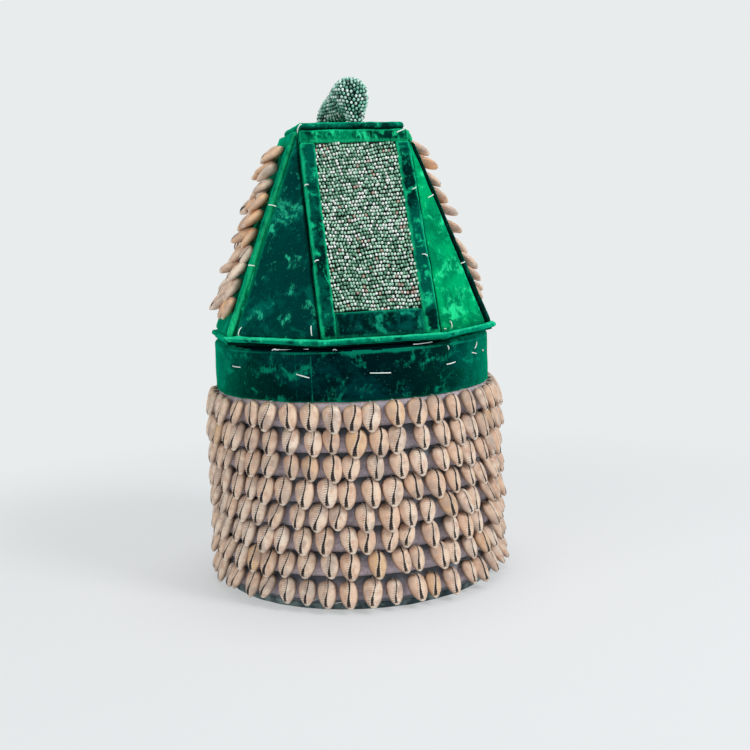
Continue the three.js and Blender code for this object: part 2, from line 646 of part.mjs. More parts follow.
// The loop handle is a stuffed tube that swells over the front foot, with both feet sewn to the top board
function addHandle(lid) {
  const pipingInside = TOP_BOARD_HALF_DEPTH - TOP_PIPING_RADIUS;
  const frontRadius = HANDLE_STATIONS[1].girth * HANDLE_RADIUS;
  const rearRadius = HANDLE_STATIONS.at(-2).girth * HANDLE_RADIUS;
  const frontFoot = -(pipingInside - HANDLE_FRONT_CLEARANCE - frontRadius);
  const rearFoot = pipingInside - HANDLE_REAR_CLEARANCE - rearRadius;
  const path = new THREE.CatmullRomCurve3(HANDLE_STATIONS.map(({ across, back, up }) => (
    new THREE.Vector3(
      across * HANDLE_LEAN,
      THREE.MathUtils.lerp(frontFoot, rearFoot, back),
      PANEL_TOP + up * HANDLE_RISE,
    )
  )));
  const girth = new THREE.CatmullRomCurve3(
    HANDLE_STATIONS.map((station, i) => new THREE.Vector3(i, station.girth * HANDLE_RADIUS, 0)),
  );
  const frames = path.computeFrenetFrames(HANDLE_RINGS);
  const positions = [];
  const indices = [];
  for (let ring = 0; ring <= HANDLE_RINGS; ring += 1) {
    const along = ring / HANDLE_RINGS;
    const middle = path.getPointAt(along);
    const radius = girth.getPoint(path.getUtoTmapping(along)).y;
    for (let side = 0; side < HANDLE_SIDES; side += 1) {
      const angle = (side / HANDLE_SIDES) * 2 * Math.PI;
      const point = middle.clone()
        .addScaledVector(frames.normals[ring], radius * Math.cos(angle))
        .addScaledVector(frames.binormals[ring], radius * Math.sin(angle));
      positions.push(point.x, point.y, point.z);
    }
  }
  for (let ring = 0; ring < HANDLE_RINGS; ring += 1) {
    for (let side = 0; side < HANDLE_SIDES; side += 1) {
      const a = ring * HANDLE_SIDES + side;
      const b = ring * HANDLE_SIDES + ((side + 1) % HANDLE_SIDES);
      indices.push(a, b, b + HANDLE_SIDES, a, b + HANDLE_SIDES, a + HANDLE_SIDES);
    }
  }
  const lastRing = HANDLE_RINGS * HANDLE_SIDES;
  for (let side = 1; side < HANDLE_SIDES - 1; side += 1) {
    indices.push(0, side + 1, side);
    indices.push(lastRing, lastRing + side, lastRing + side + 1);
  }
  const tube = new THREE.BufferGeometry();
  tube.setAttribute('position', new THREE.Float32BufferAttribute(positions, 3));
  tube.setIndex(indices);
  const handle = toSolid(tube).trimByPlane([0, 0, 1], PANEL_TOP + SEAM_GAP);
  addPiece(lid, 'loop_handle', toGeometry(handle), 'beads');
}

const container = new THREE.Group();
addBox(container);
addBand(container);
for (let row = 0; row < ROW_COUNT; row += 1) {
  addShellRow(container, row);
}

const lid = new THREE.Group();
container.add(lid);
addLidFoot(lid);
addBeadPanel(lid, 'front', PANELS.front.shape, PANELS.front.turn);
addBeadPanel(lid, 'back', PANELS.back.shape, PANELS.back.turn);
addShellPanel(lid, 'left', PANELS.left.shape, PANELS.left.turn);
addShellPanel(lid, 'right', PANELS.right.shape, PANELS.right.turn);
for (const [name, gusset] of Object.entries(GUSSETS)) {
  addGusset(lid, name, gusset);
}
addLidLining(lid);
addLidTop(lid);
addHandle(lid);

export default container;
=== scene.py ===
# Beaded shrine container: a round box covered with cowrie shells, and its tapering velvet lid.
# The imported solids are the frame. Each section below makes one group of pieces in the order of making.
import math
import random

import bpy
import numpy as np
from mathutils import Matrix, Vector


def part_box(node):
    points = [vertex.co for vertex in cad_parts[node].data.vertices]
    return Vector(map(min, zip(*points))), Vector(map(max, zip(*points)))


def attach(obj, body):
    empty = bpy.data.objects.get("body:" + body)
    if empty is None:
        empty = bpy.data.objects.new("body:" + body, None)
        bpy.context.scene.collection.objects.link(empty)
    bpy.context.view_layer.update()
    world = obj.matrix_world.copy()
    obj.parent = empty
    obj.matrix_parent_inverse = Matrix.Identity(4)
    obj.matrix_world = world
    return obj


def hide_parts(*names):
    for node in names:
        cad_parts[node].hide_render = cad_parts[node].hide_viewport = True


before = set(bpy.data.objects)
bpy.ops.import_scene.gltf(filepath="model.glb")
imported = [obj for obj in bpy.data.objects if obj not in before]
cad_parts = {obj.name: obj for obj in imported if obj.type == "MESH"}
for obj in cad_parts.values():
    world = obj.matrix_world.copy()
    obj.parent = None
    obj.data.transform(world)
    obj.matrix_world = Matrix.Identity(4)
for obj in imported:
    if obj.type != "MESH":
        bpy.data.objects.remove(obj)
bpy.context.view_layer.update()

# Camera.
# A 53 mm lens stands nearly a metre off, a little left of the front, level with the middle of the lid.
CAMERA_PLACE = (-0.2098, -0.9426, 0.3034)
CAMERA_TURN = math.radians(13.72)
CAMERA_DIP = math.radians(7.70)
CAMERA_ROLL = math.radians(-2.19)
CAMERA_LENS = 52.9

lens = bpy.data.cameras.new("camera")
lens.lens = CAMERA_LENS
lens.clip_start = 0.05
camera = bpy.data.objects.new("camera", lens)
bpy.context.scene.collection.objects.link(camera)
looking = Matrix.Rotation(-CAMERA_TURN, 4, "Z") @ Matrix.Rotation(math.pi / 2 - CAMERA_DIP, 4, "X")
camera.matrix_world = (
    Matrix.Translation(CAMERA_PLACE) @ looking @ Matrix.Rotation(CAMERA_ROLL, 4, "Z")
)
bpy.context.scene.camera = camera

# Boards.
# Stiff paper board makes the base, the wall, the lid's rim and collar and the boards of its four slopes.
# It is glued and sewn in layers, and shows only where no cloth covers it.


class Value:
    """A number that changes over a surface. Arithmetic on it adds Math nodes."""

    def __init__(self, nodes, socket):
        self.nodes = nodes
        self.socket = socket

    def maths(self, operation, *others):
        return self.nodes.maths(operation, self, *others)

    def __add__(self, other):
        return self.maths("ADD", other)

    def __sub__(self, other):
        return self.maths("SUBTRACT", other)

    def __rsub__(self, other):
        return self.nodes.maths("SUBTRACT", other, self)

    def __mul__(self, other):
        return self.maths("MULTIPLY", other)

    def __truediv__(self, other):
        return self.maths("DIVIDE", other)

    def __abs__(self):
        return self.maths("ABSOLUTE")

    __radd__ = __add__


class Nodes:
    """The shader nodes of a material or of the world."""

    def __init__(self, tree):
        self.tree = tree

    def node(self, kind, settings=(), sockets=(), output=0):
        """Adds a node. Its settings are set first, then its sockets get numbers or links."""
        made = self.tree.nodes.new(kind)
        for setting, value in dict(settings).items():
            setattr(made, setting, value)
        for socket, value in dict(sockets).items():
            self.feed(made.inputs[socket], value)
        return Value(self, made.outputs[output])

    def feed(self, socket, value):
        if isinstance(value, Value):
            self.tree.links.new(value.socket, socket)
        else:
            socket.default_value = value

    def maths(self, operation, *numbers):
        return self.node("ShaderNodeMath", {"operation": operation}, dict(enumerate(numbers)))

    def looked_at(self):
        """1 for a ray that shows something, and 0 for one that only carries its light."""
        straight, mirrored, passed = (
            self.node("ShaderNodeLightPath", output=f"Is {kind} Ray")
            for kind in ("Camera", "Glossy", "Transmission")
        )
        return straight.maths("MAXIMUM", mirrored).maths("MAXIMUM", passed)


class Finish(Nodes):
    """The finish of one kind of surface: a material with a Principled shader."""

    def __init__(self, name, settings):
        self.material = bpy.data.materials.new(name)
        self.material.use_nodes = True
        super().__init__(self.material.node_tree)
        self.shader = self.tree.nodes["Principled BSDF"]
        self.shade(settings)

    def shade(self, values):
        """Feeds numbers, colours or links to the shader's sockets."""
        for socket, value in values.items():
            self.feed(self.shader.inputs[socket], value)

    def marked(self, attribute, output="Fac"):
        """A value that is stored on the mesh."""
        return self.node("ShaderNodeAttribute", {"attribute_name": attribute}, output=output)

    def place(self, shift=(0, 0, 0), turn=(0, 0, 0), stretch=(1, 1, 1)):
        """Where a point lies on the whole object, moved, turned and stretched for a pattern."""
        coordinates = self.node("ShaderNodeTexCoord", output="Object")
        return self.node("ShaderNodeMapping", {"vector_type": "POINT"}, {
            "Vector": coordinates, "Location": shift, "Rotation": turn, "Scale": stretch,
        })

    def axes(self, place):
        """The three parts of a place."""
        return [self.node("ShaderNodeSeparateXYZ", {}, {"Vector": place}, axis) for axis in "XYZ"]

    def noise(self, place, scale, detail=2.0, roughness=0.5, distortion=0.0):
        return self.node("ShaderNodeTexNoise", {}, {
            "Vector": place, "Scale": scale, "Detail": detail, "Roughness": roughness,
            "Distortion": distortion,
        })

    def weave(self, scale, thinness):
        """Threads that cross each other."""
        across = self.noise(self.place(stretch=(1, 1, thinness)), scale, 1)
        along = self.noise(self.place(stretch=(thinness, thinness, 1)), scale, 1)
        return across * 0.5 + along * 0.5

    def between(self, value, low, high):
        """0 below low, 1 above high, and smooth in between."""
        return self.node("ShaderNodeMapRange", {"interpolation_type": "SMOOTHSTEP"}, {
            "Value": value, "From Min": low, "From Max": high,
        })

    def mix(self, share, *colours):
        """A colour between two, which are links or are given as a screen shows them."""
        first, second = (shown(*colour) if isinstance(colour, tuple) else colour for colour in colours)
        return self.node("ShaderNodeMix", {"data_type": "RGBA"}, {0: share, 6: first, 7: second}, 2)

    def layered(self, colour, *layers):
        """A colour with others laid over it in turn, each by its own share."""
        for share, tint in layers:
            colour = self.mix(share, colour, tint)
        return colour

    def bump(self, height, distance, strength=1.0):
        return self.node("ShaderNodeBump", {}, {
            "Height": height, "Distance": distance, "Strength": strength,
        })


def shown(red, green, blue):
    """The shader's colour for one given as a screen shows it, each part from 0 to 255."""
    return (*(((part / 255 + 0.055) / 1.055) ** 2.4 if part > 10 else part / 255 / 12.92
              for part in (red, green, blue)), 1.0)


def board_finish():
    finish = Finish("paper_board", {"Specular IOR Level": 0.25})
    fibres = finish.noise(finish.place(stretch=(1, 1, 0.25)), 900, 4, 0.7)
    stains = finish.noise(finish.place(), 22, 3)
    finish.shade({
        "Base Color": finish.layered(
            (176, 158, 132),
            (finish.between(stains, 0.35, 0.7), (150, 130, 104)),
            (finish.between(fibres, 0.55, 0.75) * 0.5, (118, 100, 78)),
        ),
        "Roughness": 0.8 + fibres * 0.15,
        "Normal": finish.bump(fibres, 0.0002, 0.6),
    })
    return finish


def dress(piece, *finishes):
    """Gives a piece its finishes and takes off any others."""
    piece.data.materials.clear()
    for finish in finishes:
        piece.data.materials.append(finish.material)


boards = board_finish()
for node in ("base_board", "container_wall", "lid_collar"):
    dress(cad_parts[node], boards)

# Base binding.
# A narrow strip of grey-teal cotton tape is wrapped round the foot of the wall and sewn to the base.
# Its edges are turned under, so they are rounded, and it runs a little unevenly.
RING_SIDES = 176
SEAM_GAP = 0.0003
BINDING_SOFT_EDGE = 0.0018
BINDING_TOP = 0.0062
BINDING_LUMPS = (0.02, 0.0012)


def start_fresh():
    bpy.ops.object.select_all(action="DESELECT")


def use_only(piece):
    start_fresh()
    piece.select_set(True)
    bpy.context.view_layer.objects.active = piece


def apply_modifier(piece, name, kind, **settings):
    """Finishes a piece with one of Blender's modifiers."""
    use_only(piece)
    modifier = piece.modifiers.new(name, kind)
    for setting, value in settings.items():
        setattr(modifier, setting, value)
    bpy.ops.object.modifier_apply(modifier=name)


def face_outward():
    """Turns all faces of the piece in hand outward, and leaves it smooth."""
    bpy.ops.mesh.select_all(action="SELECT")
    bpy.ops.mesh.normals_make_consistent(inside=False)
    bpy.ops.object.mode_set(mode="OBJECT")
    bpy.ops.object.shade_smooth()


def turned(outline, around=RING_SIDES):
    """A ring about the container's axis: a circle, extruded and resized from point to point, and closed.
    The outline lists distance from the axis and height."""
    start_fresh()
    radius, height = outline[0]
    bpy.ops.mesh.primitive_circle_add(vertices=around, radius=radius, location=(0, 0, height))
    bpy.ops.object.transform_apply()
    bpy.ops.object.mode_set(mode="EDIT")
    for (before, low), (after, high) in zip(outline, outline[1:]):
        bpy.ops.mesh.extrude_region_move(TRANSFORM_OT_translate={"value": (0, 0, high - low)})
        bpy.ops.transform.resize(value=(after / before, after / before, 1), center_override=(0, 0, high))
    bpy.ops.mesh.select_all(action="DESELECT")
    bpy.ops.mesh.select_non_manifold()
    bpy.ops.mesh.bridge_edge_loops()
    face_outward()
    return bpy.context.object


def roughen(piece, size, depth):
    """Pushes a surface in and out in soft lumps of about a size, by up to half a depth."""
    lumps = bpy.data.textures.new("lumps", "CLOUDS")
    lumps.noise_scale = size
    lumps.noise_depth = 1
    apply_modifier(piece, "lumps", "DISPLACE", texture=lumps, strength=depth, mid_level=0.5,
                   texture_coords="LOCAL")


def fit(piece, name, body, slot, finishes, *stands_for):
    """Names a piece, dresses it and fixes it to its body."""
    piece.name = name
    piece.data.name = name
    dress(piece, *finishes)
    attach(piece, body)
    if stands_for:
        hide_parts(*stands_for)
    return piece


def rounded(inner, outer, low, high, edge):
    """A flat ring's section with its outer edges rounded, from its inner foot round to its inner top."""
    steps = 4
    quarter = [math.pi / 2 * step / steps for step in range(steps + 1)]
    foot = [(outer - edge + edge * math.sin(a), low + edge - edge * math.cos(a)) for a in quarter]
    top = [(outer - edge + edge * math.cos(a), high - edge + edge * math.sin(a)) for a in quarter]
    return [(inner, low), *foot, *top, (inner, high)]


def binding_finish():
    finish = Finish("binding_tape", {
        "Specular IOR Level": 0.2, "Sheen Weight": 0.25, "Sheen Roughness": 0.5,
    })
    threads = finish.noise(finish.place(stretch=(1, 1, 4)), 1100, 2, 0.6)
    wear = finish.noise(finish.place(shift=(3, 1, 0)), 60, 4, 0.6, 1.0)
    finish.shade({
        "Base Color": finish.layered(
            (58, 82, 88),
            (finish.between(wear, 0.4, 0.62), (136, 156, 156)),
            (finish.between(threads, 0.5, 0.8) * 0.35, (150, 164, 162)),
        ),
        "Roughness": 0.85 + threads * 0.1,
        "Normal": finish.bump(threads, 0.0003),
    })
    return finish


binding_low, binding_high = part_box("base_binding")
wall_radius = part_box("container_wall")[1].x
binding = turned(rounded(
    wall_radius + SEAM_GAP, binding_high.x, binding_low.z, BINDING_TOP, BINDING_SOFT_EDGE,
))
roughen(binding, *BINDING_LUMPS)
fit(binding, "binding_strip", "container", "binding", [binding_finish()], "base_binding")

# Linings.
# Plain cotton is pasted over the inside of the wall, over the floor and up inside the lid.
# Nobody sees it with the lid on, and its edges stop short of the velvet.
COTTON_THICKNESS = 0.0006
WALL_CLOTH_STEPS = 12
FLOOR_RINGS = 10
FLOOR_CLOTH_HOLE = 0.002


def two_sided(line, out=0.0, up=0.0):
    """The outline of a cloth: a line one thickness further out or up, and back along the line itself."""
    return [(radius + out, height + up) for radius, height in line] + line[::-1]


def cotton_finish():
    finish = Finish("cotton_lining", {
        "Specular IOR Level": 0.2, "Sheen Weight": 0.15, "Sheen Roughness": 0.6,
    })
    creases_and_crease_shade = finish.noise(finish.place(), 26, 5, 0.55, 1.5)
    weave = finish.weave(1500, 0.12)
    finish.shade({
        "Base Color": finish.layered(
            (196, 186, 186),
            # Painted shade: the cloth is darker where it creases, and the creases also give the bump.
            (finish.between(creases_and_crease_shade, 0.35, 0.7), (170, 158, 162)),
            (finish.between(weave, 0.45, 0.62) * 0.4, (112, 102, 108)),
        ),
        "Roughness": 0.9 + weave * 0.08,
        "Normal": finish.bump(weave + creases_and_crease_shade * 0.8, 0.0005, 0.7),
    })
    return finish


cotton = cotton_finish()
lining_low, lining_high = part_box("wall_lining")
lining_radius = lining_high.x
lining = turned(two_sided([
    (lining_radius - COTTON_THICKNESS,
     lining_low.z + (lining_high.z - lining_low.z) * step / WALL_CLOTH_STEPS)
    for step in range(WALL_CLOTH_STEPS + 1)
], out=COTTON_THICKNESS))
fit(lining, "wall_cloth", "container", "cotton", [cotton], "wall_lining")

floor_low, floor_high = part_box("floor_lining")
floor_cloth = turned(two_sided([
    (FLOOR_CLOTH_HOLE, floor_low.z),
    *((floor_high.x * ring / FLOOR_RINGS, floor_low.z) for ring in range(1, FLOOR_RINGS + 1)),
], up=COTTON_THICKNESS))
fit(floor_cloth, "floor_cloth", "container", "cotton", [cotton], "floor_lining")

# Cowrie rows.
# Eight strips of lilac-grey tape go round the wall, each sewn along its top edge so that its foot stands off.
# Forty-four money cowries are sewn to each by the top of the slit, and hang over the strip below.
ROW_COUNT = 8
SHELLS_PER_ROW = 44
TAPE_STAND_OFF = 0.0026
TAPE_CLOTH = 0.0006
TAPE_SHARES = (0, 0.3, 0.6, 1)
TAPE_BEND = 1.3
TAPE_LUMPS = (0.012, 0.0009)
LOWEST_TAPE_DROP = 0.0022
LOWEST_SHELL_DROP = 0.0026
SHELL_LENGTH = 0.0234
SHELL_WIDTH = 0.0164
SHELL_DEPTH = 0.0094
SHELL_AROUND = 8
SHELL_ALONG = 9
SHELL_MARGIN = 0.001
SHELL_TEETH = 13
TILT_AT_FOOT = math.radians(27)
TILT_AT_TOP = math.radians(20)
TILT_RIGHT = math.radians(7)
SHELL_LEAN = math.radians(-6)
SLIT_SHIFT = 0.02
SLIT_STEEPNESS = 0.17
SLIT_WAVE = 0.05
SPOKE_BENDS = {0: 0, 45: 15, 90: 58, 135: 100, 180: 180}
OUTLINE_PLACES = (-0.5, -0.47, -0.383, -0.25, -0.087, 0.087, 0.25, 0.383, 0.47, 0.5)
OUTLINE_HALVES = (0.0, 0.25, 0.51, 0.77, 0.94, 1.0, 0.97, 0.8, 0.46, 0.0)


def slit_middle(along):
    """How far across its width the slit of a cowrie lies, from -0.5 at its tip to 0.5 at its sewn end."""
    return SLIT_SHIFT + SLIT_STEEPNESS * along + SLIT_WAVE * math.sin(2 * math.pi * along)


def mark(piece, attribute, values):
    """Stores a number at each point of a piece, for its finish to read."""
    piece.data.attributes.new(attribute, "FLOAT", "POINT").data.foreach_set("value", values)


def cowrie_mesh():
    """One money cowrie, slit side towards +Z and sewn end towards +Y, seated at its sewn end.
    A sphere is drawn out to its egg outline, its lips are gathered beside the slit, and the slit is sunk."""
    start_fresh()
    bpy.ops.mesh.primitive_uv_sphere_add(
        segments=SHELL_AROUND, ring_count=SHELL_ALONG, radius=0.5, rotation=(math.pi / 2, 0, 0),
    )
    bpy.ops.object.transform_apply()
    shell = bpy.context.object
    for vertex in shell.data.vertices:
        along = vertex.co.y
        angle = math.degrees(math.atan2(vertex.co.x, vertex.co.z))
        spoke = round(abs(angle) / 45) * 45
        bent = math.radians(SPOKE_BENDS[spoke]) * (1 if angle > 0 else -1)
        fullness = float(np.interp(along, OUTLINE_PLACES, OUTLINE_HALVES))
        across = 0.5 * fullness * math.sin(bent)
        out = 0.5 * fullness ** 0.8 * math.cos(bent) * (0.94 + 0.2 * along)
        if spoke <= 45 and 0.2 < fullness:
            across += slit_middle(along) * min(1, fullness * 1.4)
            out -= (0.13 if spoke == 0 else -0.015) * min(1, fullness * 1.2)
        vertex.co = (across * SHELL_WIDTH, along * SHELL_LENGTH, (out + 0.45) * SHELL_DEPTH)
    bpy.ops.object.shade_smooth()
    corners, faces = lifted(shell)
    return corners - (0, SHELL_LENGTH / 2, 0), faces, corners / (SHELL_WIDTH, SHELL_LENGTH, SHELL_DEPTH)


def lifted(model):
    """The corners and faces of a small model, which is then done with."""
    corners = np.array([vertex.co for vertex in model.data.vertices])
    faces = [tuple(face.vertices) for face in model.data.polygons]
    bpy.data.objects.remove(model)
    return corners, faces


def gathered(corners, faces, copies, shares=None):
    """One mesh of many copies of a small one. Each copy is a 4x4 matrix and a tone.
    Shares are the places of the small mesh's points for a finish to read."""
    count = len(corners)
    padded = np.hstack([corners, np.ones((count, 1))])
    places = np.vstack([(padded @ np.array(matrix).T)[:, :3] for matrix, _ in copies])
    all_faces = [tuple(v + count * copy for v in face) for copy in range(len(copies)) for face in faces]
    mesh = bpy.data.meshes.new("gathered")
    mesh.from_pydata(places.tolist(), [], all_faces)
    if shares is not None:
        stored = mesh.attributes.new("shell_place", "FLOAT_VECTOR", "POINT")
        stored.data.foreach_set("vector", np.tile(shares, (len(copies), 1)).astype(np.float32).ravel())
    mesh.shade_smooth()
    piece = bpy.data.objects.new("gathered", mesh)
    bpy.context.scene.collection.objects.link(piece)
    mark(piece, "tone", np.repeat([tone for _, tone in copies], count).astype(np.float32))
    return piece


def shell_finish(name, flank_shade, yellow_from, yellow):
    """Cream to peach enamel with a toothed slit painted near black as shade, a pale rim at the tip and a sewn
    end browned with painted shade.
    Flank shade is how much painted shade darkens the sides; the right side and the lips are painted lit and
    the left side in shade. Shells with a tone above a limit are yellow."""
    finish = Finish(name, {"Specular IOR Level": 0.45, "Coat Weight": 0.12, "Coat Roughness": 0.35})
    across, along, out = finish.axes(finish.marked("shell_place", "Vector"))
    tone = finish.marked("tone")
    wave = (along * (2 * math.pi)).maths("SINE")
    beside = across - (along * SLIT_STEEPNESS + wave * SLIT_WAVE + SLIT_SHIFT)
    gap = abs(beside)
    facing = finish.between(out, 0.5, 0.68)
    tipward = finish.between(0 - along, -0.05, 0.38)
    ends = finish.between(along, -0.44, -0.4) * (1 - finish.between(along, 0.43, 0.49))
    wander = finish.noise(finish.place(shift=(5, 5, 1)), 260, 1) - 0.5
    half_width = tipward * 0.05 + finish.between(tone, 0.3, 1.0) * 0.022 + 0.02 + wander * 0.06
    waves = (along * (2 * math.pi * SHELL_TEETH) + gap * 5 + tone * 6).maths("SINE")
    slit = (1 - finish.between(gap - half_width * (1 + waves * 0.16), -0.014, 0.014)) * ends * facing
    lip = (1 - finish.between(gap - half_width, 0.03, 0.12)) * ends * facing
    left_lip = finish.between(0 - beside, -0.02, 0.02) * 0.6 + 0.12
    toothing = (1 - finish.between(gap - half_width, 0.08, 0.24)) * ends * facing
    teeth = finish.between(waves, 0.15, 0.85) * toothing * (1 - slit) * left_lip * (1.1 - tone * 0.6)
    mottle = finish.noise(finish.place(shift=(1, 4, 2)), 160, 4, 0.6)
    drift = finish.noise(finish.place(shift=(7, 2, 5)), 70, 2)
    finish.shade({
        "Base Color": finish.layered(
            (255, 236, 216),
            (tone, (240, 200, 166)),
            (finish.between(tone, yellow_from, yellow_from + 0.04) * 0.6, yellow),
            (finish.between(mottle, 0.42, 0.66) * 0.7, (204, 152, 120)),  # blush
            # Painted light and shade: the right side of each shell is painted lighter and the left side
            # darker, as the light comes from the right.
            (finish.between(beside, 0.08, 0.4) * 0.45, (240, 214, 190)),  # right side
            (finish.between(0 - beside, 0.02, 0.34) * 0.5, (198, 158, 132)),  # left side
            # Painted shade: the sides turned away from the front are darkened brown.
            (finish.between(1 - out, 0.27, 0.7) * flank_shade, (118, 89, 73)),
            # Painted shade: each shell is browner towards its sewn end.
            (finish.between(along, 0.3, 0.5) * 0.6, (132, 96, 76)),  # sewn end
            # Painted highlight: the raised lips beside the slit are painted paler.
            ((lip - slit).maths("MAXIMUM", 0.0) * 0.45, (250, 236, 220)),
            (finish.between(0 - along, 0.4, 0.46) * 0.8, (246, 232, 214)),  # rim at the tip
            (finish.between(drift, 0.48, 0.66) * 0.55, (168, 148, 136)),  # greyed patches
            (teeth * 0.75, (120, 84, 64)),
            # Painted shade: the slit is painted near black for the dark inside of the opening.
            (slit, (34, 24, 22)),
        ),
        "Roughness": 0.4 + mottle * 0.2 + slit * 0.3,
        "Normal": finish.bump(mottle * 0.12 - slit * 1.6 + lip * 0.3 - teeth * 0.35, 0.0009),
    })
    return finish


def tape_finish():
    """Lilac-grey cotton tape with a painted teal-grey shadow under the strip above, its turned foot a little
    greyer.
    """
    finish = Finish("row_tape", {
        "Specular IOR Level": 0.15, "Sheen Weight": 0.2, "Sheen Roughness": 0.5,
    })
    weave = finish.weave(1700, 0.1)
    dirt_and_shadow_edge = finish.noise(finish.place(shift=(2, 5, 1)), 55, 4, 0.6, 0.6)
    rows_up = (finish.axes(finish.place())[2] - rows_foot) / row_pitch
    rise = rows_up.maths("FRACT")
    under = 1 - finish.between(rows_up, ROW_COUNT - 0.95, ROW_COUNT - 0.8)
    finish.shade({
        "Base Color": finish.layered(
            (232, 214, 220),
            (finish.between(dirt_and_shadow_edge, 0.4, 0.68), (188, 180, 190)),
            # Painted shadow: the top of each strip but the highest is teal-grey where the strip above shades
            # it.
            (finish.between(rise + dirt_and_shadow_edge * 0.3, 0.62, 0.96) * under * 0.85, (88, 104, 112)),
            ((1 - finish.between(rise, 0.0, 0.09)) * 0.4, (120, 126, 130)),
            (finish.between(weave, 0.44, 0.62) * 0.35, (112, 104, 112)),
        ),
        "Roughness": 0.9 + weave * 0.08,
        "Normal": finish.bump(weave + dirt_and_shadow_edge * 0.6, 0.0004),
    })
    return finish


def thread_finish():
    finish = Finish("white_thread", {"Specular IOR Level": 0.2})
    twist = finish.noise(finish.place(), 1800, 2)
    frayed = finish.between(twist, 0.5, 0.75) * 0.5
    finish.shade({
        "Base Color": finish.mix(frayed, (246, 255, 251), (206, 222, 214)),
        "Roughness": 0.7 + twist * 0.2,
        "Normal": finish.bump(twist, 0.0001, 0.3),
    })
    return finish


rows_foot = binding_high.z + SEAM_GAP
row_pitch = (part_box("velvet_band")[0].z - rows_foot) / ROW_COUNT
tape_inside = wall_radius + SEAM_GAP
shell_corners, shell_faces, shell_place = cowrie_mesh()
shells = shell_finish("cowrie_shell", 0.85, 0.93, (226, 184, 118))
tape = tape_finish()
thread = thread_finish()
chance = random.Random(44)
sewn_shells = []

for row in range(ROW_COUNT):
    node = f"cowrie_row_{row + 1}"
    foot = rows_foot + row * row_pitch
    top = foot + row_pitch - SEAM_GAP
    if row == 0:
        foot -= LOWEST_TAPE_DROP
    strip = turned(two_sided([
        (tape_inside + TAPE_STAND_OFF * share ** TAPE_BEND, top + (foot - top) * share)
        for share in TAPE_SHARES
    ], out=TAPE_CLOTH))
    roughen(strip, *TAPE_LUMPS)
    fit(strip, f"tape_strip_{row + 1}", "container", "cotton", [tape], node)
    math.hypot(top - foot, TAPE_STAND_OFF)

    shell_top = top - SHELL_MARGIN - (LOWEST_SHELL_DROP if row == 0 else 0)
    seat_radius = tape_inside + TAPE_STAND_OFF * 0.2
    copies = []
    phase = chance.uniform(-0.4, 0.4)
    row_tilt = TILT_AT_FOOT + (TILT_AT_TOP - TILT_AT_FOOT) * row / (ROW_COUNT - 1)
    for i in range(SHELLS_PER_ROW):
        turn = 2 * math.pi * (i + phase + chance.uniform(-0.14, 0.14)) / SHELLS_PER_ROW
        lean = SHELL_LEAN + math.radians(chance.gauss(0, 6))
        tilt = row_tilt + TILT_RIGHT * max(0, math.sin(turn)) * (1 - row / ROW_COUNT)
        tilt += math.radians(chance.uniform(-5, 5))
        size = chance.uniform(0.9, 1.05)
        girth = size * chance.uniform(0.93, 1.09)
        matrix = (
            Matrix.Rotation(turn, 4, "Z")
            @ Matrix.Translation((0, -seat_radius, shell_top + chance.uniform(-0.0018, 0.0006)))
            @ Matrix.Rotation(math.pi / 2, 4, "X")
            @ Matrix.Rotation(-tilt, 4, "X")
            @ Matrix.Rotation(-lean, 4, "Z")
            @ Matrix.Diagonal((girth, size, size, 1))
        )
        copies.append((matrix, chance.random()))
        sewn_shells.append(matrix)
    row_shells = gathered(shell_corners, shell_faces, copies, shell_place)
    fit(row_shells, f"cowries_{row + 1}", "container", "cowrie", [shells], node)

# Velvet band.
# A band of green velvet is drawn round the mouth of the box, folded over its rim and sewn down inside.
# Its two ends lap at the front left, and it lies unevenly. A highlight is painted along its top fold and the
# lap's edges, and under the lid's front its fold is painted near black as shadow.
BAND_SHOULDER_WIDTH = 0.0056
BAND_SHOULDER_DROP = 0.0042
BAND_SHADE_FROM = 0.74
BAND_SHADE_START = -74
BAND_SHADE_END = 38
BAND_SHADE_FADE = 26
BAND_FOOT_ROUNDING = 0.0012
BAND_RISES = 9
BAND_FOLD_STEPS = 9
BAND_LUMPS = (0.022, 0.0016)
BAND_LAP_REACH = 0.002
BAND_TOP_HIGHLIGHT = 0.0024
BAND_LAP_END_HIGHLIGHT = 0.0014
BAND_LAP_START_HIGHLIGHT = 0.0016
BAND_DRAWN_IN = 0.0018
BAND_FOLD = 0.0024
BAND_TURN_DOWN = 0.02
BAND_LAP_FROM = math.radians(-34.4)
BAND_LAP_TO = math.radians(-28.2)
BAND_LAP_HEIGHT = 0.0007
BAND_SIDES = 352


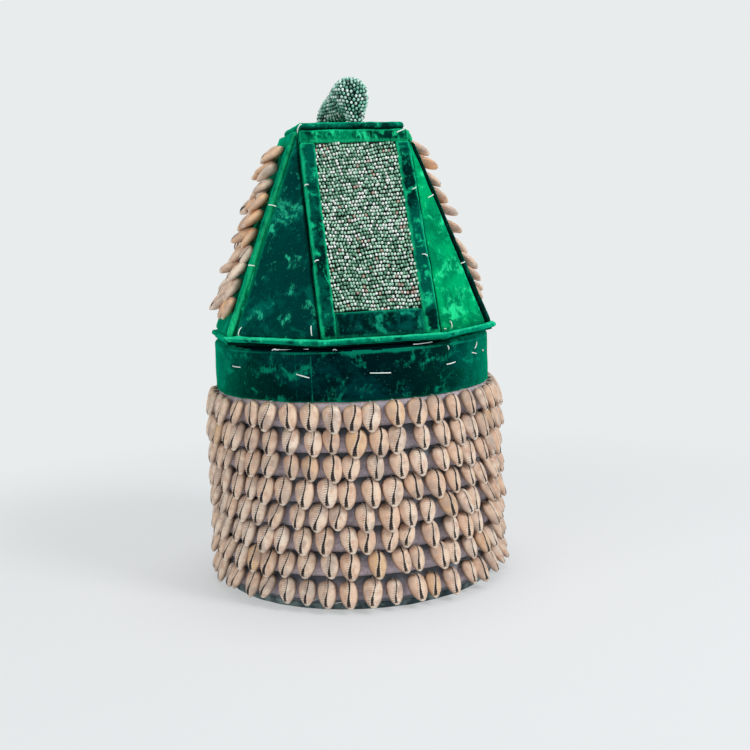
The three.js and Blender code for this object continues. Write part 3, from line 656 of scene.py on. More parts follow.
def velvet_finish(name, deep, middle, lit, share=0.5, stretch=(1, 1, 1), shift=(0, 0, 0), fold_highlight_strength=0.8,
                  seams=None, sheen=1.0):
    """Crushed velvet: the pile lies different ways, and its sheen is painted into the colour, deep in places
    and lit in others.
    A painted highlight runs along the folds and tops that a piece is marked with, and along any edges given.
    Where it is marked with painted shade it is nearly black. Lint clings to it."""
    finish = Finish(name, {
        "Specular IOR Level": 0.0, "Sheen Weight": sheen, "Sheen Roughness": 0.4,
        "Sheen Tint": shown(0, 250, 186),
    })
    place = finish.place(shift=shift, stretch=stretch)
    drift = finish.noise(place, 20, 4, 0.55, 0.3)
    patches = finish.noise(finish.place(shift=(4, 1, 2), stretch=stretch), 60, 8, 0.74, 0.35)
    streaked = finish.place(shift=(1, 7, 2), turn=(0.3, 0.5, 0.6), stretch=(1, 1, 0.35))
    flecks = finish.noise(streaked, 380, 4, 0.75)
    pile = finish.noise(place, 1500, 2, 0.7)
    turned_place = finish.place(shift=shift, turn=(0.2, 0.1, 0.4), stretch=stretch)
    clouds = finish.noise(turned_place, 46, 5, 0.62, 0.8)
    lint = finish.noise(finish.place(shift=(6, 6, 3)), 820, 0)
    fold = finish.marked("fold")
    if seams:
        fold = fold.maths("MAXIMUM", seams(finish))
    # Painted highlight along the marked folds and given edges, and painted sheen in the crushed patches.
    fold_highlight = finish.between(fold + clouds * 1.7 + flecks * 0.9, 1.62, 2.36) * fold_highlight_strength
    crushed_pile_sheen = finish.between(clouds * 0.5 + patches * 0.27 + flecks * 0.23, share + 0.02, share + 0.11) * 0.95
    finish.shade({
        "Base Color": finish.layered(
            deep,
            (finish.between(drift * 0.5 + patches * 0.5, share - 0.05, share + 0.06), middle),
            (crushed_pile_sheen.maths("MAXIMUM", fold_highlight), lit),
            (finish.between(lint, 0.79, 0.82) * 0.25, (110, 190, 160)),
            (finish.between(pile, 0.35, 0.75) * 0.22, deep),
            (finish.marked("shade"), (0, 8, 12)),
        ),
        "Roughness": 0.85 + pile * 0.1,
        "Normal": finish.bump(pile * 0.25 + patches * 0.9 + flecks * 0.3, 0.001),
    })
    return finish


def bore(node):
    """The inside radius of a ring."""
    return min(math.hypot(v.co.x, v.co.y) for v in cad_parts[node].data.vertices)


band_low, band_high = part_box("velvet_band")
band_outer = band_high.x - BAND_DRAWN_IN
band_inner = bore("velvet_band")
wall_inner = bore("container_wall")
wall_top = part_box("container_wall")[1].z
fold = [math.pi / 2 * step / BAND_FOLD_STEPS for step in range(BAND_FOLD_STEPS + 1)]
shoulder = band_high.z - BAND_SHOULDER_DROP
band = turned([
    (wall_radius + SEAM_GAP, band_low.z + 0.001),
    (band_outer - BAND_FOOT_ROUNDING, band_low.z),
    (band_outer - 0.0002, band_low.z + BAND_FOOT_ROUNDING),
    *((band_outer, band_low.z + (shoulder - band_low.z) * step / BAND_RISES)
      for step in range(1, BAND_RISES)),
    *((band_outer - BAND_SHOULDER_WIDTH * (1 - math.cos(a)), shoulder + BAND_SHOULDER_DROP * math.sin(a))
      for a in fold),
    *((band_inner + BAND_FOLD - BAND_FOLD * math.sin(a), band_high.z - BAND_FOLD + BAND_FOLD * math.cos(a))
      for a in fold),
    (band_inner, band_high.z - BAND_TURN_DOWN * 0.6),
    (band_inner, band_high.z - BAND_TURN_DOWN),
    (wall_inner - SEAM_GAP, band_high.z - BAND_TURN_DOWN),
    (wall_inner - SEAM_GAP, wall_top + SEAM_GAP),
    (wall_radius + SEAM_GAP, wall_top + SEAM_GAP),
], BAND_SIDES)
for vertex in band.data.vertices:
    angle = math.atan2(vertex.co.x, -vertex.co.y)
    reach = math.hypot(vertex.co.x, vertex.co.y)
    if reach > band_outer - BAND_LAP_REACH and BAND_LAP_FROM < angle < BAND_LAP_TO:
        swell = BAND_LAP_HEIGHT * (angle - BAND_LAP_FROM) / (BAND_LAP_TO - BAND_LAP_FROM)
        vertex.co.x *= 1 + swell / reach
        vertex.co.y *= 1 + swell / reach
roughen(band, *BAND_LUMPS)


def band_edge_highlights(finish):
    """Where a highlight is painted: along the band's top fold and along the two edges of the lap."""
    x, y, z = finish.axes(finish.place())
    turn = x.maths("ARCTAN2", 0 - y)
    drift = finish.noise(finish.place(shift=(8, 1, 1)), 22, 2)
    top_edge = drift * 3.0 - 0.65 - abs(z - shoulder) / BAND_TOP_HIGHLIGHT
    lap_end = 0.85 - abs(turn - BAND_LAP_TO) * (band_outer / BAND_LAP_END_HIGHLIGHT)
    lap_start = 0.6 - abs(turn - BAND_LAP_FROM) * (band_outer / BAND_LAP_START_HIGHLIGHT)
    return top_edge.maths("MAXIMUM", lap_end.maths("MAXIMUM", lap_start))


band_velvet = velvet_finish("band_velvet", (0, 16, 26), (0, 50, 54), (10, 142, 110), 0.5,
                            (1, 1, 1.3), seams=band_edge_highlights)
# Painted shadow: a near-black finish without sheen for the band's fold in the gap under the lid's front.
painted_shadow_velvet = Finish("painted_shadow_velvet", {
    "Base Color": shown(0, 22, 26), "Roughness": 1.0, "Specular IOR Level": 0.0,
})
fit(band, "mouth_band", "container", "velvet", [band_velvet, painted_shadow_velvet], "velvet_band")
# The fold's faces under the lid's front take the painted shadow, fading out towards the sides.
for face in band.data.polygons:
    angle = math.degrees(math.atan2(face.center.x, -face.center.y))
    within = min(angle - BAND_SHADE_START, BAND_SHADE_END - angle)
    shaded = min(1, max(0, within / BAND_SHADE_FADE))
    if face.center.z > band_high.z - BAND_SHOULDER_DROP * BAND_SHADE_FROM * shaded:
        face.material_index = 1

# Sloping boards and gussets.
# Velvet covers the lid's rim and its four sloping boards, so their edges show dark green in the seams.
# Four tapering gussets of velvet over board fill the corners, crushed by handling most at mid height.
# The velvet's sheen is painted into its colour: the left gussets are painted in shade and the right ones lit.
MERGE_DISTANCE = 0.00001
SAME_HEIGHT = 0.0001
GUSSET_GRAIN = 0.0014
GUSSET_ROUNDING = 3
GUSSET_LUMPS = (0.02, 0.0016)
GUSSET_THICKNESS = 0.0034
GUSSET_FULLNESS = 0.0005
SLAB_EDGE = 0.0029
SLAB_SHADOW = 0.0065
SLAB_SHADE_LINE = 0.0056
FRONT_SHADE_LINE = 0.0036
SHADE_LINE_STRENGTH = 1.7
sides = ("front", "back", "left", "right")


def copied(node, name, cuts=0):
    """A copy of a plain solid with its corners joined, and its faces cut smaller if need be."""
    piece = bpy.data.objects.new(name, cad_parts[node].data.copy())
    bpy.context.scene.collection.objects.link(piece)
    use_only(piece)
    bpy.ops.object.mode_set(mode="EDIT")
    bpy.ops.mesh.select_all(action="SELECT")
    bpy.ops.mesh.remove_doubles(threshold=MERGE_DISTANCE)
    if cuts:
        bpy.ops.mesh.subdivide(number_cuts=cuts)
    bpy.ops.object.mode_set(mode="OBJECT")
    return piece


def soften(node, grain, rounding, lumps):
    """A cloth-covered piece in place of a plain solid: its corners are rounded and its faces lie unevenly."""
    piece = copied(node, node)
    apply_modifier(piece, "grain", "REMESH", mode="VOXEL", voxel_size=grain)
    apply_modifier(piece, "rounding", "SMOOTH", factor=0.5, iterations=rounding)
    roughen(piece, *lumps)
    use_only(piece)
    bpy.ops.object.shade_smooth()
    return piece


# Copies of one velvet painted in light and shade: darker for the left gussets and the right board's edge,
# lighter for the right gussets and the left board's edge.
shaded_left_velvet = velvet_finish("left_gusset_velvet", (0, 48, 52), (0, 100, 88), (50, 208, 158), 0.515,
                            (1, 1, 1.2), (3, 0, 1))
lit_right_velvet = velvet_finish("right_gusset_velvet", (0, 112, 66), (0, 168, 96), (44, 240, 156), 0.49,
                             (1, 1, 1.7), (7, 2, 0))
board_velvet = velvet_finish("board_velvet", (0, 18, 20), (0, 44, 42), (4, 90, 70), 0.52)
shaded_slab_velvet = velvet_finish("shaded_slab_velvet", (0, 12, 16), (0, 26, 30), (0, 70, 62), 0.52, sheen=0.4)
lit_edge_velvet = velvet_finish("lit_edge_velvet", (0, 80, 58), (2, 142, 94), (30, 200, 132), 0.48)


def sink_beside_slab(piece, node):
    """Presses a gusset down along the side panel's edge so that the edge stands above it, and marks painted
    shade along it and along the front panel's edge.
    """
    corners = [(abs(v.co.x), abs(v.co.y), v.co.z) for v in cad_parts[node].data.vertices]
    foot, top = min(c[2] for c in corners), max(c[2] for c in corners)
    outer = {
        level: max(x + y for x, y, z in corners if abs(z - level) < SAME_HEIGHT) for level in (foot, top)
    }
    rims = {
        level: sorted((x, y) for x, y, z in corners
                      if abs(z - level) < SAME_HEIGHT and x + y > outer[level] - 0.0003)
        for level in (foot, top)
    }
    shades = []
    for vertex in piece.data.vertices:
        share = min(1, max(0, (vertex.co.z - foot) / (top - foot)))
        front, side = (Vector(rims[foot][end]).lerp(Vector(rims[top][end]), share) for end in (0, -1))
        place = Vector((abs(vertex.co.x), abs(vertex.co.y)))
        beside = max(0.0, (side - place).dot((side - front).normalized()))
        depth = max(0.0, (front.x + front.y - place.x - place.y) / math.sqrt(2))
        past_front = max(0.0, (place - front).dot((side - front).normalized()))
        # Painted shade: a dark line where the gusset meets the side panel and where it meets the front panel.
        shades.append(min(1.0, SHADE_LINE_STRENGTH * max(0.0, 1 - beside / SLAB_SHADE_LINE, 1 - past_front / FRONT_SHADE_LINE)))
        nearness = max(0.0, 1 - beside / SLAB_SHADOW)
        sink = SLAB_EDGE * nearness * nearness * (3 - 2 * nearness) * max(0.0, 1 - depth / GUSSET_THICKNESS)
        vertex.co.x -= math.copysign(sink / math.sqrt(2), vertex.co.x)
        vertex.co.y -= math.copysign(sink / math.sqrt(2), vertex.co.y)
    mark(piece, "shade", shades)


# The left board's edge is dressed painted lit and the right board's painted in shade.
for node, cover in (
    ("lid_rim_board", board_velvet), ("front_board", board_velvet), ("back_board", board_velvet),
    ("left_board", lit_edge_velvet), ("right_board", shaded_slab_velvet),
):
    dress(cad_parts[node], cover)
for corner in ("front_left", "front_right", "back_left", "back_right"):
    node = f"{corner}_gusset"
    gusset = soften(node, GUSSET_GRAIN, GUSSET_ROUNDING, GUSSET_LUMPS)
    apply_modifier(gusset, "fullness", "DISPLACE", strength=GUSSET_FULLNESS, mid_level=0.0)
    sink_beside_slab(gusset, node)
    finish = shaded_left_velvet if corner.endswith("left") else lit_right_velvet
    fit(gusset, f"{corner}_corner_velvet", "lid", "velvet", [finish], node)

# Panel borders.
# Each sloping panel is framed with four padded velvet strips, folded at their edges and sewn at the corners.
# The pile is dark along the middle of a strip, and a highlight is painted along its folds. Whole strips are
# painted lit and shaded by where they face.
BORDER_GRAIN = 0.0011
BORDER_ROUNDING = 9
BORDER_LUMPS = (0.014, 0.0013)
BORDER_STUFFING = 0.0004
FOLD_HIGHLIGHT_WIDTH = 0.0046


def panel_axes(side):
    """The directions across and up a sloping panel, and straight out of it."""
    slopes = [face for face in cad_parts[f"{side}_board"].data.polygons if face.normal.z > 0.1]
    out = max(slopes, key=lambda face: face.area).normal.copy()
    across = Vector((0, 0, 1)).cross(out).normalized()
    return across, out.cross(across).normalized(), out


def panel_corners(side, node):
    """The corners of a four-sided pad on a panel, across and up, from its foot left round to its top left.
    They are followed by the heights of its back and of its face."""
    across, up, out = panel_axes(side)
    spots = [(v.co.dot(across), v.co.dot(up), v.co.dot(out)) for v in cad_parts[node].data.vertices]
    back = min(spot[2] for spot in spots)
    rim = [spot for spot in spots if spot[2] < back + SAME_HEIGHT]
    foot = min(spot[1] for spot in rim)
    top = max(spot[1] for spot in rim)
    low = [spot[0] for spot in rim if spot[1] < foot + 0.0005]
    high = [spot[0] for spot in rim if spot[1] > top - 0.0005]
    corners = [(min(low), foot), (max(low), foot), (max(high), top), (min(high), top)]
    return corners, back, max(spot[2] for spot in spots)


def mark_folds(piece, side, node):
    """Marks a strip with how near each place is to a folded edge, for a painted highlight there: 1 at the
    edge and 0 past the fold.
    """
    across, up, out = panel_axes(side)
    corners, _, _ = panel_corners(side, node)
    folds = []
    for vertex in piece.data.vertices:
        place = Vector((vertex.co.dot(across), vertex.co.dot(up)))
        nearest = 1.0
        for start, end in zip(corners, corners[1:] + corners[:1]):
            along = (Vector(end) - Vector(start)).normalized()
            nearest = min(nearest, abs((place - Vector(start)).cross(along)))
        folds.append(max(0.0, 1 - nearest / FOLD_HIGHLIGHT_WIDTH))
    mark(piece, "fold", folds)


# Copies of one velvet painted lit and shaded: the top strips and the left panel's right strip lit, the foot
# strips darker, the right panel's left strip deep in shade.
bright_velvet = velvet_finish("bright_border_velvet", (0, 30, 30), (0, 126, 84), (36, 220, 148), 0.485,
                              (1.5, 1, 1), (5, 1, 4), 0.6)
border_velvet = velvet_finish("border_velvet", (0, 20, 26), (0, 84, 70), (26, 204, 142), 0.485,
                              (1, 1, 1.4), (2, 6, 4), 0.85)
dark_velvet = velvet_finish("dark_border_velvet", (0, 18, 24), (2, 74, 70), (22, 156, 122), 0.505,
                            (1.2, 1, 1), (4, 2, 6), 0.5)
shaded_velvet = velvet_finish("shaded_border_velvet", (0, 12, 18), (0, 42, 44), (8, 112, 90), 0.51,
                              (1.2, 1, 1), (4, 2, 6), 0.1, sheen=0.4)
strip_light_and_shade = {"top": bright_velvet, "left": border_velvet, "right": border_velvet, "foot": dark_velvet}
for side in sides:
    for strip, finish in strip_light_and_shade.items():
        node = f"{side}_{strip}_border"
        if (side, strip) == ("right", "left"):
            finish = shaded_velvet
        if (side, strip) == ("left", "right"):
            finish = bright_velvet
        border = soften(node, BORDER_GRAIN, BORDER_ROUNDING, BORDER_LUMPS)
        apply_modifier(border, "stuffing", "DISPLACE", strength=BORDER_STUFFING, mid_level=0.0)
        mark_folds(border, side, node)
        fit(border, f"{side}_{strip}_strip", "lid", "velvet", [finish], node)

# Lid lining.
# A cotton lining is pasted up the inside of the lid in four slopes and four corners.
# Its outer side lies against the boards, and shows dark green where a seam between them stands open.
LID_CLOTH_CUTS = 9
LID_CLOTH_LUMPS = (0.03, 0.0006)

lid_cloth = copied("lid_lining", "lid_cloth", LID_CLOTH_CUTS)
roughen(lid_cloth, *LID_CLOTH_LUMPS)
fit(lid_cloth, "lid_cloth", "lid", "cotton", [cotton, board_velvet], "lid_lining")
for face in lid_cloth.data.polygons:
    face.material_index = 1 if face.normal.x * face.center.x + face.normal.y * face.center.y > 0 else 0
lid_low, lid_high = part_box("lid_lining")
foot_spots = {tuple(round(part, 5) for part in v.co.xy)
              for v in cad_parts["lid_lining"].data.vertices if v.co.z < lid_low.z + SAME_HEIGHT}
farthest = max(math.hypot(*spot) for spot in foot_spots)
lid_rim = sorted((spot for spot in foot_spots if math.hypot(*spot) > farthest - 0.0005),
                 key=lambda spot: math.atan2(spot[1], spot[0]))
sum(math.dist(a, b) for a, b in zip(lid_rim, lid_rim[1:] + lid_rim[:1]))

# Bead panels.
# The front and the back carry a panel of pale glass seed beads, strung in rows and sewn down close together.
# The rows run across, wander a little, and are shifted against each other. The pad beneath is dark cloth,
# darkened further as painted shade between the beads.
BEAD_SIZE = 0.00275
BEAD_ROW = 0.0032
BEAD_STEP = 0.00258
BEAD_ROW_SHIFT = 0.27
BEAD_ROW_CLIMB = 0.12
BEAD_FIELD_SPREAD = 0.0016
BEAD_STRAY = 0.00022
BEAD_FIELD_END = 0.004
BEAD_FACES = (8, 5)
BEAD_FLATNESS = 0.8
PANEL_PAD = 0.0012
PANEL_GRID = (16, 32)
BEAD_PAD_LUMPS = (0.014, 0.0004)


def bead_mesh():
    """One glass seed bead a unit across: a rounded ring of glass, a little flat at both ends of its hole."""
    start_fresh()
    around, along = BEAD_FACES
    bpy.ops.mesh.primitive_uv_sphere_add(
        segments=around, ring_count=along, radius=0.5, rotation=(0, math.pi / 2, 0),
    )
    bpy.ops.object.transform_apply()
    bead = bpy.context.object
    bpy.ops.object.mode_set(mode="EDIT")
    bpy.ops.transform.resize(value=(BEAD_FLATNESS, 1, 1))
    bpy.ops.object.mode_set(mode="OBJECT")
    return lifted(bead)


def bead_finish(name, dark, middle, pale, odd):
    """Glossy glass beads that differ in tone, with a few odd ones among them."""
    finish = Finish(name, {"Specular IOR Level": 0.7, "Coat Weight": 0.5, "Coat Roughness": 0.06})
    tone = finish.marked("tone")
    cloud = finish.noise(finish.place(), 900, 2)
    finish.shade({
        "Base Color": finish.layered(
            dark,
            (finish.between(tone, 0.05, 0.5), middle),
            (finish.between(tone, 0.45, 0.9), pale),
            (finish.between(tone, 0.955, 0.96), odd),
            (finish.between(cloud, 0.4, 0.8) * 0.3, dark),
        ),
        "Roughness": 0.22 + cloud * 0.15,
    })
    return finish


def backing_finish():
    finish = Finish("bead_backing", {"Specular IOR Level": 0.15, "Sheen Weight": 0.1})
    weave = finish.noise(finish.place(), 1400, 2)
    finish.shade({
        # Dark cloth, darkened further as painted shade in the gaps between the beads.
        "Base Color": finish.mix(finish.between(weave, 0.4, 0.7), (2, 14, 10), (14, 32, 26)),
        "Roughness": 0.9 + weave * 0.08,
        "Normal": finish.bump(weave, 0.0003),
    })
    return finish


def panel_ground(side, node, lumps):
    """The cloth under a panel's beads or shells: a grid drawn to the field's outline, thick and uneven."""
    across, up, out = panel_axes(side)
    (_, (foot_half, foot), (top_half, top), _), back, _ = panel_corners(side, node)
    start_fresh()
    bpy.ops.mesh.primitive_grid_add(x_subdivisions=PANEL_GRID[0], y_subdivisions=PANEL_GRID[1], size=1)
    ground = bpy.context.object
    for vertex in ground.data.vertices:
        share = vertex.co.y + 0.5
        half = foot_half + (top_half - foot_half) * share
        vertex.co = across * (vertex.co.x * 2 * half) + up * (foot + (top - foot) * share) + out * back
    bpy.ops.object.shade_smooth()
    apply_modifier(ground, "cloth", "SOLIDIFY", thickness=PANEL_PAD, offset=1)
    roughen(ground, *lumps)
    return ground


def facing_along(across, up, out):
    """The turn that lays a small mesh on a surface by its directions across, up and out."""
    return Matrix((across, up, out)).transposed().to_4x4()


bead_corners, bead_faces = bead_mesh()
mint_glass = bead_finish("mint_beads", (78, 140, 110), (170, 224, 194), (252, 255, 252),
                         (190, 158, 142))
backing = backing_finish()
for side in ("front", "back"):
    node = f"{side}_bead_panel"
    (_, (foot_half, foot), (top_half, top), _), _, face = panel_corners(side, node)
    across, up, out = panel_axes(side)
    pad = panel_ground(side, node, BEAD_PAD_LUMPS)
    fit(pad, f"{side}_bead_pad", "lid", "pale_beads", [backing], node)
    copies = []
    rows = round((top - foot) / BEAD_ROW)
    shift = 0.0
    wander = [chance.uniform(-0.0006, 0.0006) for _ in range(3)]
    for row in range(-3, rows + 3):
        shift += BEAD_ROW_SHIFT + chance.gauss(0, 0.1)
        wander = [w * 0.95 + chance.gauss(0, 0.00012) for w in wander]
        climb = BEAD_ROW_CLIMB * row / rows
        count = round(foot_half / BEAD_STEP) + 2
        for i in range(-count, count + 1):
            spot = (i - shift % 1) * BEAD_STEP + chance.gauss(0, BEAD_STRAY)
            height = foot + (row + 0.5) * (top - foot) / rows + spot * climb + chance.gauss(0, BEAD_STRAY)
            height += sum(w * math.sin(spot * (60 + 70 * k) + row * 0.12 + k) for k, w in enumerate(wander))
            share = (height - foot) / (top - foot)
            half = foot_half + (top_half - foot_half) * share - BEAD_SIZE * 0.4 + BEAD_FIELD_SPREAD
            if not BEAD_FIELD_END < share < 1 - BEAD_FIELD_END or abs(spot) > half:
                continue
            place = across * spot + up * height + out * (face - BEAD_SIZE / 2 + chance.gauss(0, 0.0003))
            size = BEAD_SIZE * chance.uniform(0.94, 1.06)
            matrix = (
                Matrix.Translation(place) @ facing_along(across, up, out)
                @ Matrix.Rotation(chance.gauss(0, 0.2), 4, "Z")
                @ Matrix.Rotation(chance.gauss(0, 0.2), 4, "Y")
                @ Matrix.Scale(size, 4)
            )
            copies.append((matrix, chance.random()))
    beads = gathered(bead_corners, bead_faces, copies)
    fit(beads, f"{side}_beads", "lid", "pale_beads", [mint_glass], node)

# Side panels of shells.
# The sides carry ten rows of money cowries in the same velvet frame, sewn by one end so they stand out.
# Three shells fill a row at the top and five at the foot. More of them are yellow than on the container.
PANEL_ROWS = 10
PANEL_SHELL_TILTS = {"left": math.radians(25), "right": math.radians(38)}
PANEL_SHELL_DROPS = {"left": 0.0032, "right": 0.0018}
PANEL_SHELL_PITCH = 0.0146
SIDE_PAD_LUMPS = (0.014, 0.0006)

panel_shell_tones = shell_finish("panel_cowrie_shell", 0.12, 0.7, (255, 178, 84))
side_ground = velvet_finish("side_panel_velvet", (2, 44, 40), (5, 76, 62), (10, 120, 88), 0.55)
for side in ("left", "right"):
    node = f"{side}_cowrie_panel"
    (_, (foot_half, foot), (top_half, top), _), back, _ = panel_corners(side, node)
    across, up, out = panel_axes(side)
    ground = panel_ground(side, node, SIDE_PAD_LUMPS)
    fit(ground, f"{side}_panel_velvet", "lid", "velvet", [side_ground], node)
    copies = []
    for row in range(PANEL_ROWS):
        share = (row + 1) / PANEL_ROWS
        half = foot_half + (top_half - foot_half) * share
        count = max(3, round(2 * half / PANEL_SHELL_PITCH))
        for i in range(count):
            spot = ((i + 0.5) / count * 2 - 1) * half + chance.uniform(-0.0012, 0.0012)
            height = foot + (top - foot) * share - PANEL_SHELL_DROPS[side] + chance.uniform(-0.0022, 0.0012)
            tilt = PANEL_SHELL_TILTS[side] + math.radians(chance.gauss(0, 10))
            lean = math.radians(chance.gauss(0, 12))
            rolled = chance.gauss(0, 0.3)
            size = chance.uniform(0.84, 1.02)
            matrix = (
                Matrix.Translation(across * spot + up * height + out * (back + PANEL_PAD))
                @ facing_along(across, up, out)
                @ Matrix.Rotation(-tilt, 4, "X") @ Matrix.Rotation(-lean, 4, "Z")
                @ Matrix.Translation((0, 0, SHELL_DEPTH / 2)) @ Matrix.Rotation(rolled, 4, "Y")
                @ Matrix.Translation((0, 0, -SHELL_DEPTH / 2))
                @ Matrix.Diagonal((size * chance.uniform(0.9, 1), size, size, 1))
            )
            copies.append((matrix, chance.random()))
    panel_shells = gathered(shell_corners, shell_faces, copies, shell_place)
    fit(panel_shells, f"{side}_cowries", "lid", "cowrie", [panel_shell_tones], node)

# Pipings and top board.
# A stuffed roll of velvet is sewn round the octagonal foot of the lid, and a thinner one round its flat top.
# The small board between the slopes is covered with the same velvet.
PIPING_GRAIN = 0.0009
PIPING_ROUNDING = 6
PIPING_LUMPS = (0.014, 0.0016)
FOOT_ROLL_STUFFING = 0.0004
TOP_ROLL_STUFFING = 0.0010
TOP_ROLL_SINK = 0.0005
FOOT_ROLL_FLATNESS = 0.76
FOOT_ROLL_CORNER = (-0.11, -0.06)
FOOT_ROLL_LIFT = 0.0013
FOOT_ROLL_REACH = 0.07
FOOT_ROLL_SAG = 0.0016
FOOT_ROLL_SAG_FROM = 0.03
FOOT_ROLL_ENDS = 0.095
FOOT_ROLL_DRAW = 0.86
# Painted shade under each roll and a painted highlight along its top: strength, start and reach of each.
ROLL_SHADE = (0.95, 0.56, 0.3)
ROLL_TOP_HIGHLIGHT = (0.9, 0.6, 0.25)
TOP_COVER_GRAIN = 0.0011
TOP_COVER_ROUNDING = 2
TOP_COVER_LUMPS = (0.012, 0.0005)

foot_velvet = velvet_finish("foot_roll_velvet", (0, 56, 54), (2, 150, 112), (48, 232, 168), 0.49,
                            (1.6, 1.6, 1), (5, 3, 2))
top_velvet = velvet_finish("top_roll_velvet", (0, 40, 38), (0, 106, 86), (30, 196, 144), 0.49,
                           (1.6, 1.6, 1), (1, 3, 5))
for name, node, finish, stuffing in (
    ("foot_roll", "foot_piping", foot_velvet, FOOT_ROLL_STUFFING),
    ("top_roll", "top_piping", top_velvet, TOP_ROLL_STUFFING),
):
    roll = soften(node, PIPING_GRAIN, PIPING_ROUNDING, PIPING_LUMPS)
    apply_modifier(roll, "stuffing", "DISPLACE", strength=stuffing, mid_level=0.0)
    roll_top = max(vertex.co.z for vertex in roll.data.vertices)
    for vertex in roll.data.vertices:
        if name == "top_roll":
            vertex.co.z -= TOP_ROLL_SINK
            continue
        vertex.co.z = roll_top - (roll_top - vertex.co.z) * FOOT_ROLL_FLATNESS
        if vertex.co.x < 0:
            to_corner = math.hypot(vertex.co.x - FOOT_ROLL_CORNER[0], vertex.co.y - FOOT_ROLL_CORNER[1])
            vertex.co.z += FOOT_ROLL_LIFT * max(0.0, 1 - to_corner / FOOT_ROLL_REACH)
            if vertex.co.x < FOOT_ROLL_CORNER[0]:
                past_corner = max(0.0, vertex.co.y - FOOT_ROLL_CORNER[1]) / FOOT_ROLL_SAG_FROM
                vertex.co.z -= FOOT_ROLL_SAG * min(1.0, past_corner)
        if abs(vertex.co.x) > FOOT_ROLL_ENDS:
            reach = FOOT_ROLL_ENDS + (abs(vertex.co.x) - FOOT_ROLL_ENDS) * FOOT_ROLL_DRAW
            vertex.co.x = math.copysign(reach, vertex.co.x)
    roll_foot = min(vertex.co.z for vertex in roll.data.vertices)
    rises = [(vertex.co.z - roll_foot) / (roll_top - roll_foot) for vertex in roll.data.vertices]
    # Painted shade on the lower part of each roll and a painted highlight along its top.
    for attribute, way, (most, start, reach) in (("shade", -1, ROLL_SHADE), ("fold", 1, ROLL_TOP_HIGHLIGHT)):
        mark(roll, attribute, [most * min(1.0, max(0.0, way * (rise - start) / reach)) for rise in rises])
    fit(roll, name, "lid", "velvet", [finish], node)
cover = soften("lid_top_board", TOP_COVER_GRAIN, TOP_COVER_ROUNDING, TOP_COVER_LUMPS)
fit(cover, "top_cover", "lid", "velvet", [border_velvet], "lid_top_board")

# Loop handle.
# A stuffed roll of cloth is bent over into a loop and sewn to the top, leaning to one side.
# Teal glass beads cover it all round, sewn close together with their holes lying nearly level.
LOOP_STATIONS = [
    ((0.0064, -0.0300, 0.3810), 0.0048), ((0.0060, -0.0292, 0.3890), 0.0060),
    ((0.0050, -0.0258, 0.3985), 0.0096), ((0.0038, -0.0194, 0.4128), 0.0152),
    ((-0.0012, -0.0035, 0.4068), 0.0138), ((-0.0064, 0.0112, 0.4000), 0.0125),
    ((-0.0052, 0.0140, 0.3884), 0.0155), ((-0.0043, 0.0145, 0.3789), 0.0162),
]
LOOP_BEAD = 0.0032
LOOP_STEPS = 60
LOOP_LINES = 48
LOOP_SETTLING = 24
LINE_STEPS = 40
LOOK_AHEAD = 0.001
CORE_SIDES = 20
CORE_SHARE = 0.6
BEAD_STRIDE = 0.15
BEAD_SPACING = 0.89
BEAD_REACH = 1.2
BEAD_PUSH = 0.22
BEAD_LINE = (0.13, 0.32, 0.94)


def smooth_between(values, steps):
    """Points on a smooth line through the given ones."""
    values = np.array(values, float)
    padded = np.vstack([values[0], values, values[-1]])
    line = []
    for i in range(1, len(padded) - 2):
        before, here, there, after = padded[i - 1:i + 3]
        for t in np.linspace(0, 1, steps, endpoint=False):
            line.append(0.5 * (
                2 * here + (there - before) * t + (2 * before - 5 * here + 4 * there - after) * t * t
                + (3 * here - before - 3 * there + after) * t ** 3
            ))
    line.append(values[-1])
    return np.array(line)


line = smooth_between([(*place, girth) for place, girth in LOOP_STATIONS], LINE_STEPS)
steps = np.linalg.norm(np.diff(line[:, :3], axis=0), axis=1)
travelled = np.concatenate([[0], np.cumsum(steps)])
even = np.linspace(0, travelled[-1], LOOP_STEPS)
centres = np.stack([np.interp(even, travelled, line[:, axis]) for axis in range(4)], axis=1)
handle_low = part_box("loop_handle")[0].z


def loop_ring(along):
    """The centre, two cross directions and half thickness of the loop at a distance along it."""
    spot, ahead, behind = (
        np.array([np.interp(place, even, centres[:, axis]) for axis in range(4)])
        for place in (along, along + LOOK_AHEAD, along - LOOK_AHEAD)
    )
    ahead = (ahead - behind)[:3]
    ahead /= np.linalg.norm(ahead)
    sideways = np.array((1.0, 0.0, 0.0)) - ahead * ahead[0]
    sideways /= np.linalg.norm(sideways)
    return spot[:3], sideways, np.cross(ahead, sideways), spot[3]


start_fresh()
bpy.ops.mesh.primitive_circle_add(vertices=CORE_SIDES, radius=1, fill_type="NGON")
core = bpy.context.object
bpy.ops.object.mode_set(mode="EDIT")
for _ in range(LOOP_STEPS - 1):
    bpy.ops.mesh.extrude_region_move(TRANSFORM_OT_translate={"value": (0, 0, 1)})
bpy.ops.object.mode_set(mode="OBJECT")
for vertex in core.data.vertices:
    centre, sideways, upward, radius = loop_ring(even[min(LOOP_STEPS - 1, round(vertex.co.z))])
    place = centre + (sideways * vertex.co.x + upward * vertex.co.y) * (radius - LOOP_BEAD * CORE_SHARE)
    vertex.co = (place[0], place[1], max(place[2], handle_low))
use_only(core)
bpy.ops.object.mode_set(mode="EDIT")
face_outward()
fit(core, "loop_core", "lid", "teal_beads", [backing], "loop_handle")


def settle(spots):
    """Seats beads on the stuffed roll, each square to the nearest part of its middle line."""
    gaps = np.linalg.norm(spots[:, None] - line[None, :, :3], axis=2) - line[None, :, 3]
    nearest = line[np.argmin(gaps, axis=1)]
    outward = spots - nearest[:, :3]
    outward /= np.linalg.norm(outward, axis=1, keepdims=True)
    return nearest[:, :3] + outward * (nearest[:, 3:] - LOOP_BEAD / 2), outward


